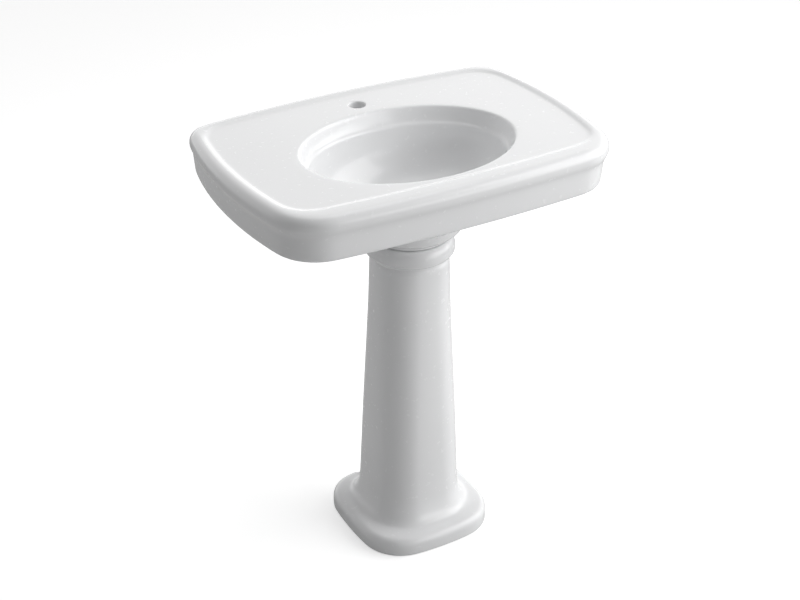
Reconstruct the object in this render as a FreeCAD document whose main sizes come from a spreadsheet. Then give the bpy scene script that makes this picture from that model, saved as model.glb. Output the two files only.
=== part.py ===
import FreeCAD, Part
import math
import os
import Sketcher

# Pedestal sink: a wide china basin with a rolled rim and an oval bowl, standing on a hollow
# china pedestal, with its push-button drain and a trap that runs to the wall.
#
# Frame: millimetres, +Z up, +X to the right of someone facing the sink, -Y towards that person,
# +Y towards the wall. The origin is on the floor, under the middle of the basin's outline.

# Driving dimensions: sheet name, value, what it is.
DIMENSIONS = [
    ("bite", 1.0, "how far a cut or a joined block runs past the face it meets"),
    ("basin_half_width", 387.5, "half of the basin's width"),
    ("basin_half_depth", 267.0, "half of the basin's depth, and the wall's distance from the origin"),
    ("rim_top", 892.0, "height of the raised rim"),
    ("deck_drop", 4.0, "how far the deck lies below the rim"),
    ("rim_height", 40.0, "height of the rolled rim's band"),
    ("rim_top_radius", 20.5, "rounding of the rim's upper edge"),
    ("rim_under_radius", 18.0, "rounding of the rim's lower edge"),
    ("side_bow", 920.0, "radius of the basin's bowed sides"),
    ("front_bow", 3800.0, "radius of the basin's bowed front"),
    ("back_bow", 2600.0, "radius of the basin's bowed back"),
    ("front_corner", 106.0, "radius of the basin's front corners"),
    ("back_corner", 58.0, "radius of the basin's back corners"),
    ("apron_bottom", 796.0, "height of the apron's lower edge"),
    ("apron_inset_low", 12.5, "apron's setback from the rim at its lower edge"),
    ("apron_inset_high", 7.0, "apron's setback from the rim just under the roll"),
    ("apron_edge", 8.0, "rounding of the apron's lower edge"),
    ("apron_back_reach", 6.0, "how far the apron's own outline reaches further back than the rim's"),
    ("apron_back_corner", 38.0, "back corner radius of the apron's outline"),
    ("apron_wall", 15.0, "thickness of the apron's wall at its lower edge"),
    ("deck_thickness", 16.0, "thickness of the deck"),
    ("recess_side", 28.0, "width of the raised rim at the sides and the back"),
    ("recess_front", 46.0, "width of the raised rim at the front"),
    ("recess_corner", 70.0, "corner radius of the sunk deck"),
    ("recess_edge", 3.0, "rounding of the step down to the deck"),
    ("bowl_y", -32.0, "middle of the bowl, and the drain's axis"),
    ("bowl_half_length", 225.0, "half of the bowl's opening, side to side"),
    ("bowl_half_breadth", 166.5, "half of the bowl's opening, front to back"),
    ("bowl_lip", 7.0, "rounding of the bowl's lip"),
    ("ledge_height", 856.0, "height of the ledge inside the bowl"),
    ("ledge_drop_in", 9.0, "how far the bowl's upper wall leans in down to the ledge"),
    ("ledge_width", 8.0, "width of the ledge"),
    ("floor_height", 738.0, "height of the bowl's floor at the drain"),
    ("floor_radius", 45.0, "radius of the flat ring round the drain"),
    ("bowl_wall", 13.0, "thickness of the bowl's wall"),
    ("bowl_shell_grow", 7.0, "how far the bowl's outside stands beyond its mouth"),
    ("bowl_shell_round", 4.0, "extra radius at the foot of the bowl's outside"),
    ("boss_radius", 42.0, "radius of the drain boss under the bowl"),
    ("boss_bottom", 697.0, "height of the drain boss's lower face"),
    ("drain_hole", 22.5, "radius of the drain hole in the china"),
    ("flange_seat", 33.5, "radius of the sunk seat for the drain flange"),
    ("flange_seat_depth", 3.5, "depth of that seat"),
    ("faucet_y", 181.0, "faucet hole's distance behind the origin"),
    ("faucet_hole", 17.5, "radius of the faucet hole"),
    ("faucet_lip", 2.5, "rounding of the faucet hole's edge"),
    ("hanger_half_width", 165.0, "half width of the wall boss behind the basin"),
    ("hanger_bottom", 804.0, "height of the wall boss's lower face"),
    ("hanger_depth", 28.0, "thickness of the wall boss"),
    ("wall_hole_x", 101.5, "wall bolt hole's distance from the middle"),
    ("wall_hole_height", 832.0, "height of the wall bolt holes"),
    ("wall_hole", 7.0, "radius of the wall bolt holes"),
    ("overflow_half_width", 14.0, "half width of the overflow channel"),
    ("overflow_gap", 9.5, "depth of the overflow channel"),
    ("overflow_wall", 8.0, "thickness of the china round the overflow channel"),
    ("overflow_front", -207.0, "front face of the overflow channel"),
    ("overflow_top", 850.0, "top of the overflow channel"),
    ("overflow_turn", 800.0, "height where the channel turns in under the bowl"),
    ("overflow_bend", -156.0, "where the channel bends for the second time"),
    ("overflow_bend_height", 746.0, "height of that bend"),
    ("overflow_inner", -104.0, "where the channel's slant ends"),
    ("overflow_floor", 716.5, "height of the channel's floor at the drain"),
    ("overflow_slot_height", 838.0, "height of the overflow slot in the bowl"),
    ("overflow_slot_radius", 5.0, "half height of the overflow slot"),
    ("overflow_slot_reach", 9.0, "half length of the overflow slot's straight part"),
    ("overflow_slot_length", 34.0, "how far back the overflow slot is cut from the channel"),
    ("neck_y", -38.0, "axis of the collar, the neck and the column's top"),
    ("neck_radius", 82.0, "radius of the neck where basin and pedestal meet"),
    ("neck_bore", 64.0, "radius of the opening inside the neck"),
    ("neck_waist_grow", 5.5, "how far the neck has widened at its waist"),
    ("neck_waist_rise", 8.5, "height of that waist above the neck's foot"),
    ("neck_flare", 104.0, "radius of the neck where it runs into the bowl"),
    ("neck_flare_height", 709.0, "height where the neck runs into the bowl"),
    ("neck_top", 742.0, "top of the neck inside the bowl's wall"),
    ("seat_height", 690.0, "height of the pedestal's upper face"),
    ("pad_thickness", 1.5, "thickness of the rubber seat pads"),
    ("pad_radius", 6.0, "radius of a seat pad"),
    ("pad_circle", 72.5, "radius of the circle of seat pads"),
    ("collar_radius", 92.0, "largest radius of the pedestal's collar"),
    ("collar_edge_height", 655.0, "height of the collar's lower edge"),
    ("collar_root_height", 640.0, "height where the collar grows out of the column"),
    ("collar_root_sink", 4.0, "how far the collar's root reaches down into the column"),
    ("collar_root_inset", 2.5, "how far the collar's root lies inside the column's side"),
    ("collar_cove_rise", 5.0, "height of the cove under the collar"),
    ("collar_cove_grow", 0.5, "how far the collar stands out at that cove"),
    ("collar_lip", 3.5, "how far the collar's lower edge stays inside its widest place"),
    ("collar_edge_drop", 1.0, "drop of the collar's lower edge"),
    ("collar_bulge_rise", 5.5, "height of the collar's widest place above its edge"),
    ("column_bottom", 100.0, "height where the column starts to flare"),
    ("column_top_half_width", 78.0, "half width of the column under the collar"),
    ("column_top_front", -118.0, "front of the column under the collar"),
    ("column_top_back", 40.0, "back of the column under the collar"),
    ("column_top_front_corner", 66.0, "front corner radius under the collar"),
    ("column_top_back_corner", 60.0, "back corner radius under the collar"),
    ("column_top_bow", 150.0, "radius of the column's bowed faces under the collar"),
    ("column_low_half_width", 96.0, "half width of the column above the foot"),
    ("column_low_front", -141.0, "front of the column above the foot"),
    ("column_low_back", 50.0, "back of the column above the foot"),
    ("column_low_front_corner", 70.0, "front corner radius above the foot"),
    ("column_low_back_corner", 50.0, "back corner radius above the foot"),
    ("column_low_bow", 420.0, "radius of the column's bowed faces above the foot"),
    ("column_wall", 12.0, "thickness of the pedestal's wall"),
    ("foot_flare", 30.0, "radius of the cove between column and plinth"),
    ("plinth_height", 40.0, "height of the plinth"),
    ("plinth_half_width", 150.0, "half width of the plinth"),
    ("plinth_front", -197.0, "front of the plinth"),
    ("plinth_back", 100.0, "back of the plinth"),
    ("plinth_side_bow", 760.0, "radius of the plinth's bowed sides"),
    ("plinth_end_bow", 620.0, "radius of the plinth's bowed front and back"),
    ("plinth_front_corner", 92.0, "front corner radius of the plinth"),
    ("plinth_back_corner", 75.0, "back corner radius of the plinth"),
    ("plinth_edge", 17.0, "rounding of the plinth's upper edge"),
    ("plinth_foot_edge", 2.0, "rounding of the plinth's lower edge"),
    ("plinth_wall", 14.0, "thickness of the plinth's wall"),
    ("plinth_roof", 13.0, "thickness of the plinth's top"),
    ("opening_half_width", 55.0, "half width of the opening in the pedestal's back"),
    ("opening_sill", 18.0, "height of the opening's lower edge"),
    ("opening_top", 560.0, "height where the opening's round head starts"),
    ("floor_web_front", 2.0, "front edge of the web that takes the floor bolts"),
    ("floor_web_back", 46.0, "back edge of that web"),
    ("floor_web_reach", 138.0, "half length of that web, to inside the plinth's side walls"),
    ("floor_web_height", 14.0, "thickness of that web"),
    ("floor_hole_x", 38.0, "floor bolt hole's distance from the middle"),
    ("floor_hole_y", 34.0, "floor bolt hole's distance behind the origin"),
    ("floor_hole", 5.5, "radius of the floor bolt holes"),
    ("flange_radius", 32.0, "radius of the drain flange"),
    ("flange_thickness", 2.5, "thickness of the drain flange"),
    ("flange_land", 4.0, "width of the flange's sloping border"),
    ("flange_edge", 0.8, "height of the flange's sharp lower edge"),
    ("flange_crown", 0.6, "how far the flange's border drops half-way out"),
    ("throat_lip", 2.0, "rounding where the flange turns down into the tube"),
    ("gasket_thickness", 1.5, "thickness of the gasket under the flange"),
    ("drain_tube", 19.0, "outer radius of the drain body's tube"),
    ("drain_bore", 16.0, "inner radius of the drain body's tube"),
    ("drain_tube_bottom", 655.0, "height of the drain body's lower end"),
    ("overflow_window_half_width", 7.0, "half width of the drain body's overflow windows"),
    ("overflow_window_height", 12.0, "height of the drain body's overflow windows"),
    ("cap_radius", 27.0, "radius of the stopper's cap"),
    ("cap_edge", 3.0, "thickness of the stopper's cap at its edge"),
    ("cap_chamfer", 0.8, "chamfer under the stopper's cap"),
    ("cap_dome", 7.0, "thickness of the stopper's cap in the middle"),
    ("cap_flat", 3.0, "radius of the flat in the middle of the cap"),
    ("cap_lift", 9.5, "gap between the open cap and the drain flange"),
    ("seal_circle", 21.0, "radius of the stopper seal's circle"),
    ("seal_section", 1.4, "radius of the stopper seal's section"),
    ("stem_radius", 4.0, "radius of the stopper's stem"),
    ("stem_bottom", 689.0, "height of the stem's lower end"),
    ("stem_collar", 7.8, "radius of the spring collar on the stem"),
    ("stem_collar_bottom", 738.0, "height of the spring collar's lower face, stopper open"),
    ("stem_collar_height", 3.0, "thickness of the spring collar"),
    ("stem_shoulder", 5.5, "radius of the stem above the spring collar"),
    ("rest_gap", 0.3, "gap left where the spring and the retainer would touch the guide"),
    ("stem_clearance", 0.05, "running clearance between stem and guide"),
    ("retainer_radius", 6.5, "radius of the nut on the stem's lower end"),
    ("retainer_height", 5.0, "height of that nut"),
    ("guide_bottom", 697.0, "height of the guide's lower face"),
    ("guide_top", 712.0, "height of the guide's upper face"),
    ("guide_radius", 8.5, "radius of the guide's bush"),
    ("guide_ring_height", 8.0, "height of the guide's ring and arms"),
    ("guide_ring_wall", 1.6, "thickness of the guide's ring"),
    ("guide_arm", 3.0, "thickness of the guide's arms"),
    ("spring_radius", 6.3, "radius of the spring's coil"),
    ("spring_wire", 0.6, "radius of the spring's wire"),
    ("spring_pitch", 4.0, "distance between the spring's turns"),
    ("cone_washer_flange", 31.0, "radius of the tapered gasket's flange"),
    ("cone_washer_height", 6.0, "thickness of the tapered gasket's flange"),
    ("cone_washer_gap", 0.2, "gap between the gasket's nose and the hole's wall"),
    ("cone_washer_tip", 1.2, "thickness of the nose at its tip"),
    ("cone_washer_nose", 6.0, "length of the tapered gasket's nose in the hole"),
    ("thread_gap", 0.1, "gap between the drain thread and what goes over it"),
    ("slip_washer_radius", 29.0, "radius of the friction washer"),
    ("slip_washer_height", 1.5, "thickness of the friction washer"),
    ("locknut_radius", 29.0, "corner radius of the drain locknut"),
    ("locknut_height", 9.0, "height of the drain locknut"),
    ("pipe_radius", 15.875, "outer radius of the waste pipes"),
    ("pipe_wall", 1.2, "wall of the waste pipes"),
    ("tailpiece_top", 676.0, "height of the tailpiece's upper end"),
    ("tailpiece_bottom", 509.0, "height of the tailpiece's lower end"),
    ("socket_radius", 20.5, "outer radius of the trap's threaded ends"),
    ("socket_gap", 0.2, "gap between a pipe and the socket or nut round it"),
    ("socket_floor", 2.0, "how far the inlet's counterbore stops above the socket's foot"),
    ("washer_inset", 0.3, "how far the slip washers and the arm's flange stay inside the nuts"),
    ("socket_length", 30.0, "length of the trap's threaded ends"),
    ("trap_inlet", 535.0, "height of the trap's inlet"),
    ("trap_outlet", 455.0, "height of the bend's outlet"),
    ("trap_turn", 42.0, "radius of the trap's U"),
    ("trap_centre", 430.0, "height of the U's centre"),
    ("arm_turn", 32.0, "radius of the arm's elbow"),
    ("arm_height", 500.0, "height of the arm's straight run"),
    ("arm_end", 104.0, "open end of the arm, just behind the pedestal"),
    ("nut_radius", 27.0, "corner radius of the slip nuts"),
    ("nut_height", 24.0, "height of the slip nuts"),
    ("nut_top", 3.0, "thickness of a slip nut's end"),
    ("washer_height", 3.0, "thickness of the slip washers"),
    ("cleanout_boss", 11.0, "radius of the cleanout boss"),
    ("cleanout_boss_drop", 9.0, "how far the cleanout boss reaches below the bend"),
    ("cleanout_bore", 7.0, "radius of the cleanout hole"),
    ("cleanout_gasket_height", 1.5, "thickness of the cleanout gasket"),
    ("cleanout_head", 12.5, "corner radius of the cleanout plug's head"),
    ("cleanout_head_height", 6.0, "height of the cleanout plug's head"),
    ("cleanout_shank", 7.0, "length of the cleanout plug's shank"),
]

UP = FreeCAD.Vector(0, 0, 1)
# An ellipse's second half axis stays just below its first, so its last, round section is one too.
NEARLY_ROUND = 0.999
ORIGIN = -1
START, END, CENTRE = 1, 2, 3


class Length:
    """A size held twice: as a number, and as the sheet expression that gives that number."""

    def __init__(self, value, text=None):
        self.value = float(value)
        self.text = text if text is not None else repr(self.value)

    @staticmethod
    def of(other):
        return other if isinstance(other, Length) else Length(other)

    def __add__(self, other):
        other = Length.of(other)
        return Length(self.value + other.value, f"({self.text} + {other.text})")

    def __sub__(self, other):
        other = Length.of(other)
        return Length(self.value - other.value, f"({self.text} - {other.text})")

    def __mul__(self, other):
        other = Length.of(other)
        return Length(self.value * other.value, f"({self.text} * {other.text})")

    def __neg__(self):
        return self * -1

    __radd__ = __add__
    __rmul__ = __mul__

    def __rsub__(self, other):
        return Length.of(other) - self


class Sizes:
    """The driving dimensions, each one an attribute of its own name."""


doc = FreeCAD.newDocument("PedestalSink")
sheet = doc.addObject("Spreadsheet::Sheet", "Sheet")
D = Sizes()
for row, (alias, amount, meaning) in enumerate(DIMENSIONS, start=1):
    sheet.set(f"A{row}", meaning)
    sheet.set(f"B{row}", str(amount))
    sheet.setAlias(f"B{row}", alias)
    setattr(D, alias, Length(amount, f"Sheet.{alias}"))
doc.recompute()


# --- bodies and features ------------------------------------------------------------------------

def new_body(name, x=0, y=0, z=0):
    """A body called name whose own origin stands at x, y, z."""
    body = doc.addObject("PartDesign::Body", name)
    body.Label = name
    for axis, place in (("x", x), ("y", y), ("z", z)):
        place = Length.of(place)
        setattr(body.Placement.Base, axis, place.value)
        body.setExpression(f"Placement.Base.{axis}", place.text)
    return body


def new_sketch(body, name, plane="XY_Plane", offset=0):
    """A sketch on one of the body's own planes, moved along the plane's normal by offset."""
    sketch = body.newObject("Sketcher::SketchObject", name)
    support = [item for item in body.Origin.OriginFeatures if item.Role == plane][0]
    sketch.AttachmentSupport = [(support, "")]
    sketch.MapMode = "FlatFace"
    offset = Length.of(offset)
    sketch.AttachmentOffset = FreeCAD.Placement(UP * offset.value, FreeCAD.Rotation())
    sketch.setExpression("AttachmentOffset.Base.z", offset.text)
    return sketch


def constrain(sketch, *terms):
    """Add a constraint whose last term is a Length, and bind it to the sheet."""
    size = terms[-1]
    index = sketch.addConstraint(Sketcher.Constraint(*terms[:-1], size.value))
    sketch.setExpression(f"Constraints[{index}]", size.text)


def place_point(sketch, edge, point, x, y):
    """Hold a point of an edge at x, y from the sketch's origin."""
    for kind, size in (("DistanceX", x), ("DistanceY", y)):
        constrain(sketch, kind, ORIGIN, 1, edge, point, Length.of(size))


def add_circle(sketch, x, y, radius):
    radius = Length.of(radius)
    centre = FreeCAD.Vector(Length.of(x).value, Length.of(y).value, 0)
    edge = sketch.addGeometry(Part.Circle(centre, UP, radius.value), False)
    place_point(sketch, edge, CENTRE, x, y)
    constrain(sketch, "Radius", edge, radius)


def add_ellipse(sketch, y, half_length, half_breadth):
    """An ellipse centred on the Y axis, with its long axis along X."""
    centre = FreeCAD.Vector(0, y.value, 0)
    edge = sketch.addGeometry(Part.Ellipse(centre, half_length.value, half_breadth.value), False)
    sketch.exposeInternalGeometry(edge)
    long_axis, short_axis = edge + 1, edge + 2
    sketch.addConstraint(Sketcher.Constraint("Horizontal", long_axis))
    constrain(sketch, "Distance", long_axis, half_length * 2)
    constrain(sketch, "Distance", short_axis, half_breadth * 2)
    place_point(sketch, edge, CENTRE, 0, y)


def read_path(points):
    """Split a path into its corners and the points that its bent edges pass through.

    A corner is (x, y). After a corner, ("arc", (x, y)) bends the edge to the next corner so that
    it passes through x, y."""
    corners = []
    bends = {}
    for item in points:
        if item[0] == "arc":
            bends[len(corners) - 1] = (Length.of(item[1][0]), Length.of(item[1][1]))
        else:
            corners.append((Length.of(item[0]), Length.of(item[1])))
    return corners, bends


def as_vector(point):
    return FreeCAD.Vector(point[0].value, point[1].value, 0)


def heading(origin, target):
    return math.atan2(target.y - origin.y, target.x - origin.x)


def turning_arc(centre, radius, first, last):
    """The arc that runs anticlockwise round a centre from one heading to another."""
    if last < first:
        last += 2 * math.pi
    return Part.ArcOfCircle(Part.Circle(centre, UP, radius), first, last)


def bent_edge(start, through, stop):
    """An arc through three points, and whether it runs anticlockwise from start to stop."""
    circle = Part.Arc(start, through, stop).toShape().Curve
    turn = (through - start).cross(stop - through).z
    first, last = (start, stop) if turn > 0 else (stop, start)
    centre = circle.Center
    return turning_arc(centre, circle.Radius, heading(centre, first), heading(centre, last)), turn > 0


def add_path(sketch, points, closed):
    """Straight and bent edges through points, each corner held at its place."""
    corners, bends = read_path(points)
    edges = []
    ends = []
    count = len(corners) if closed else len(corners) - 1
    for index in range(count):
        start = as_vector(corners[index])
        stop = as_vector(corners[(index + 1) % len(corners)])
        forward = True
        if index in bends:
            curve, forward = bent_edge(start, as_vector(bends[index]), stop)
        else:
            curve = Part.LineSegment(start, stop)
        edges.append(sketch.addGeometry(curve, False))
        ends.append((START, END) if forward else (END, START))
    for index in range(len(edges) - (0 if closed else 1)):
        following = (index + 1) % len(edges)
        sketch.addConstraint(Sketcher.Constraint(
            "Coincident", edges[index], ends[index][1], edges[following], ends[following][0]
        ))
    for index, edge in enumerate(edges):
        place_point(sketch, edge, ends[index][0], *corners[index])
    if not closed:
        place_point(sketch, edges[-1], ends[-1][1], *corners[-1])
    for index, bend in bends.items():
        guide = sketch.addGeometry(Part.Point(as_vector(bend)), True)
        place_point(sketch, guide, START, *bend)
        sketch.addConstraint(Sketcher.Constraint("PointOnObject", guide, START, edges[index]))


def add_outline(sketch, points):
    add_path(sketch, points, closed=True)


def tangent_circle(first, first_radius, second, second_radius, radius, quadrant):
    """Centre of a circle that touches two big circles from inside, on the quadrant's side."""
    gap = second - first
    reach_first = first_radius - radius
    reach_second = second_radius - radius
    along = (gap.Length ** 2 + reach_first ** 2 - reach_second ** 2) / (2 * gap.Length)
    across = math.sqrt(max(reach_first ** 2 - along ** 2, 0.0))
    direction = FreeCAD.Vector(gap).normalize()
    side = FreeCAD.Vector(-direction.y, direction.x, 0)
    choices = [first + direction * along + side * across * sign for sign in (1, -1)]
    return max(choices, key=lambda point: point.dot(quadrant))


def add_bowed_outline(sketch, plan, inset=0):
    """A rounded rectangle with bowed sides: eight tangent arcs, all moved inwards by inset."""
    inset = Length.of(inset)
    middle = (plan["front"] + plan["back"]) * 0.5
    big = {
        "front": (Length(0), plan["front"] + plan["end_bow_front"], plan["end_bow_front"] - inset),
        "right": (plan["half_width"] - plan["side_bow"], middle, plan["side_bow"] - inset),
        "back": (Length(0), plan["back"] - plan["end_bow_back"], plan["end_bow_back"] - inset),
        "left": (plan["side_bow"] - plan["half_width"], middle, plan["side_bow"] - inset),
    }
    centres = {side: FreeCAD.Vector(x.value, y.value, 0) for side, (x, y, _) in big.items()}
    order = ["front", "right", "back", "left"]
    corner_sizes = [plan["front_corner"], plan["back_corner"], plan["back_corner"], plan["front_corner"]]
    quadrants = [(1, -1), (1, 1), (-1, 1), (-1, -1)]
    corners = []
    for index, size in enumerate(corner_sizes):
        first = order[index]
        second = order[(index + 1) % len(order)]
        size = size - inset
        centre = tangent_circle(
            centres[first], big[first][2].value, centres[second], big[second][2].value,
            size.value, FreeCAD.Vector(*quadrants[index], 0),
        )
        corners.append((centre, size))

    edges = []
    for index, side in enumerate(order):
        previous_corner = corners[index - 1][0]
        next_corner, next_size = corners[index]
        following = order[(index + 1) % len(order)]
        start = heading(centres[side], previous_corner)
        stop = heading(centres[side], next_corner)
        edge = sketch.addGeometry(turning_arc(centres[side], big[side][2].value, start, stop), False)
        place_point(sketch, edge, CENTRE, big[side][0], big[side][1])
        constrain(sketch, "Radius", edge, big[side][2])
        edges.append(edge)
        corner_end = heading(centres[following], next_corner)
        edge = sketch.addGeometry(turning_arc(next_corner, next_size.value, stop, corner_end), False)
        constrain(sketch, "Radius", edge, next_size)
        edges.append(edge)
    for index, edge in enumerate(edges):
        following = edges[(index + 1) % len(edges)]
        sketch.addConstraint(Sketcher.Constraint("Tangent", edge, END, following, START))


def bowed_plan(half_width, front, back, side_bow, front_bow, back_bow, front_corner, back_corner):
    return {
        "half_width": half_width, "front": front, "back": back, "side_bow": side_bow,
        "end_bow_front": front_bow, "end_bow_back": back_bow,
        "front_corner": front_corner, "back_corner": back_corner,
    }


def add_feature(body, kind, name, profile, **settings):
    feature = body.newObject(f"PartDesign::{kind}", name)
    feature.Profile = profile
    for key, value in settings.items():
        setattr(feature, key, value)
    profile.Visibility = False
    return feature


def pad(body, name, sketch, length, **settings):
    feature = add_feature(body, "Pad", name, sketch, **settings)
    length = Length.of(length)
    feature.Length = length.value
    feature.setExpression("Length", length.text)
    return feature


def cut_through(body, name, sketch, **settings):
    """Cut both ways through the body, so the direction doesn't matter."""
    return cut(body, name, sketch, None, Midplane=True, Type="ThroughAll", **settings)


def cut(body, name, sketch, length, **settings):
    """A pocket that must take material away."""
    doc.recompute()
    before = body.Shape.Volume
    feature = add_feature(body, "Pocket", name, sketch, **settings)
    if length is not None:
        length = Length.of(length)
        feature.Length = length.value
        feature.setExpression("Length", length.text)
    doc.recompute()
    if body.Shape.Volume > before - 1.0:
        raise RuntimeError(f"{name} in {body.Label} cuts nothing")
    return feature


def loft(body, name, sketches, cutting=False, ruled=False):
    kind = "SubtractiveLoft" if cutting else "AdditiveLoft"
    feature = add_feature(body, kind, name, sketches[0])
    feature.Sections = sketches[1:]
    feature.Ruled = ruled
    for section in sketches:
        section.Visibility = False
    return feature


def revolve(body, name, sketch, axis="V_Axis"):
    return add_feature(body, "Revolution", name, sketch, ReferenceAxis=(sketch, [axis]), Angle=360.0)


def turned_body(name, points, x=0, y=0, z=0):
    """A body turned about its own vertical axis from an outline of (radius, height) points."""
    body = new_body(name, x, y, z)
    sketch = new_sketch(body, f"{name}_profile", "XZ_Plane")
    add_outline(sketch, points)
    revolve(body, f"{name}_turned", sketch)
    return body


def round_edges(body, name, radius, wanted):
    """Fillet the edges of the body that wanted(edge) picks."""
    doc.recompute()
    names = [f"Edge{n}" for n, edge in enumerate(body.Shape.Edges, start=1) if wanted(edge)]
    if not names:
        raise RuntimeError(f"{name} in {body.Label} finds no edge")
    base = body.Tip
    feature = body.newObject("PartDesign::Fillet", name)
    feature.Base = (base, names)
    radius = Length.of(radius)
    feature.Radius = radius.value
    feature.setExpression("Radius", radius.text)
    doc.recompute()
    return feature


def level_edge(height, width=None):
    """Picks level edges at a height, and with width only those that are as wide as that."""
    def wanted(edge):
        box = edge.BoundBox
        if max(abs(box.ZMin - height.value), abs(box.ZMax - height.value)) > 0.05:
            return False
        return width is None or abs(box.XLength - width.value) < 0.5
    return wanted


def recess_edges(edge):
    """Picks the upper edges of the step down to the deck."""
    box = edge.BoundBox
    across = max(abs(box.XMin), abs(box.XMax)) < (D.basin_half_width - D.recess_side).value + 1.0
    along = max(abs(box.YMin), abs(box.YMax)) < (D.basin_half_depth - D.recess_side).value + 1.0
    return across and along and box.ZMin > D.rim_top.value - 0.05


# --- basin --------------------------------------------------------------------------------------

BASIN_PLAN = bowed_plan(
    D.basin_half_width, -D.basin_half_depth, D.basin_half_depth, D.side_bow,
    D.front_bow, D.back_bow, D.front_corner, D.back_corner,
)
APRON_PLAN = dict(BASIN_PLAN)
APRON_PLAN["back"] = D.basin_half_depth + D.apron_back_reach
APRON_PLAN["back_corner"] = D.apron_back_corner
DECK_HEIGHT = D.rim_top - D.deck_drop
RIM_BOTTOM = D.rim_top - D.rim_height
DECK_UNDERSIDE = DECK_HEIGHT - D.deck_thickness


def add_bowl_sections(body, prefix, top, floor, top_length, top_breadth, floor_radius, steps):
    """Ellipses that follow a quarter of an ellipse from the ledge down to a round floor."""
    sketches = []
    for step in range(steps + 1):
        angle = math.radians(90.0 * step / steps)
        down = math.sin(angle)
        out = math.cos(angle)
        sketch = new_sketch(body, f"{prefix}_{step}", offset=top - (top - floor) * down)
        half_length = floor_radius + (top_length - floor_radius) * out
        half_breadth = floor_radius * NEARLY_ROUND + (top_breadth - floor_radius) * out
        add_ellipse(sketch, D.bowl_y, half_length, half_breadth)
        sketches.append(sketch)
    return sketches


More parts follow.
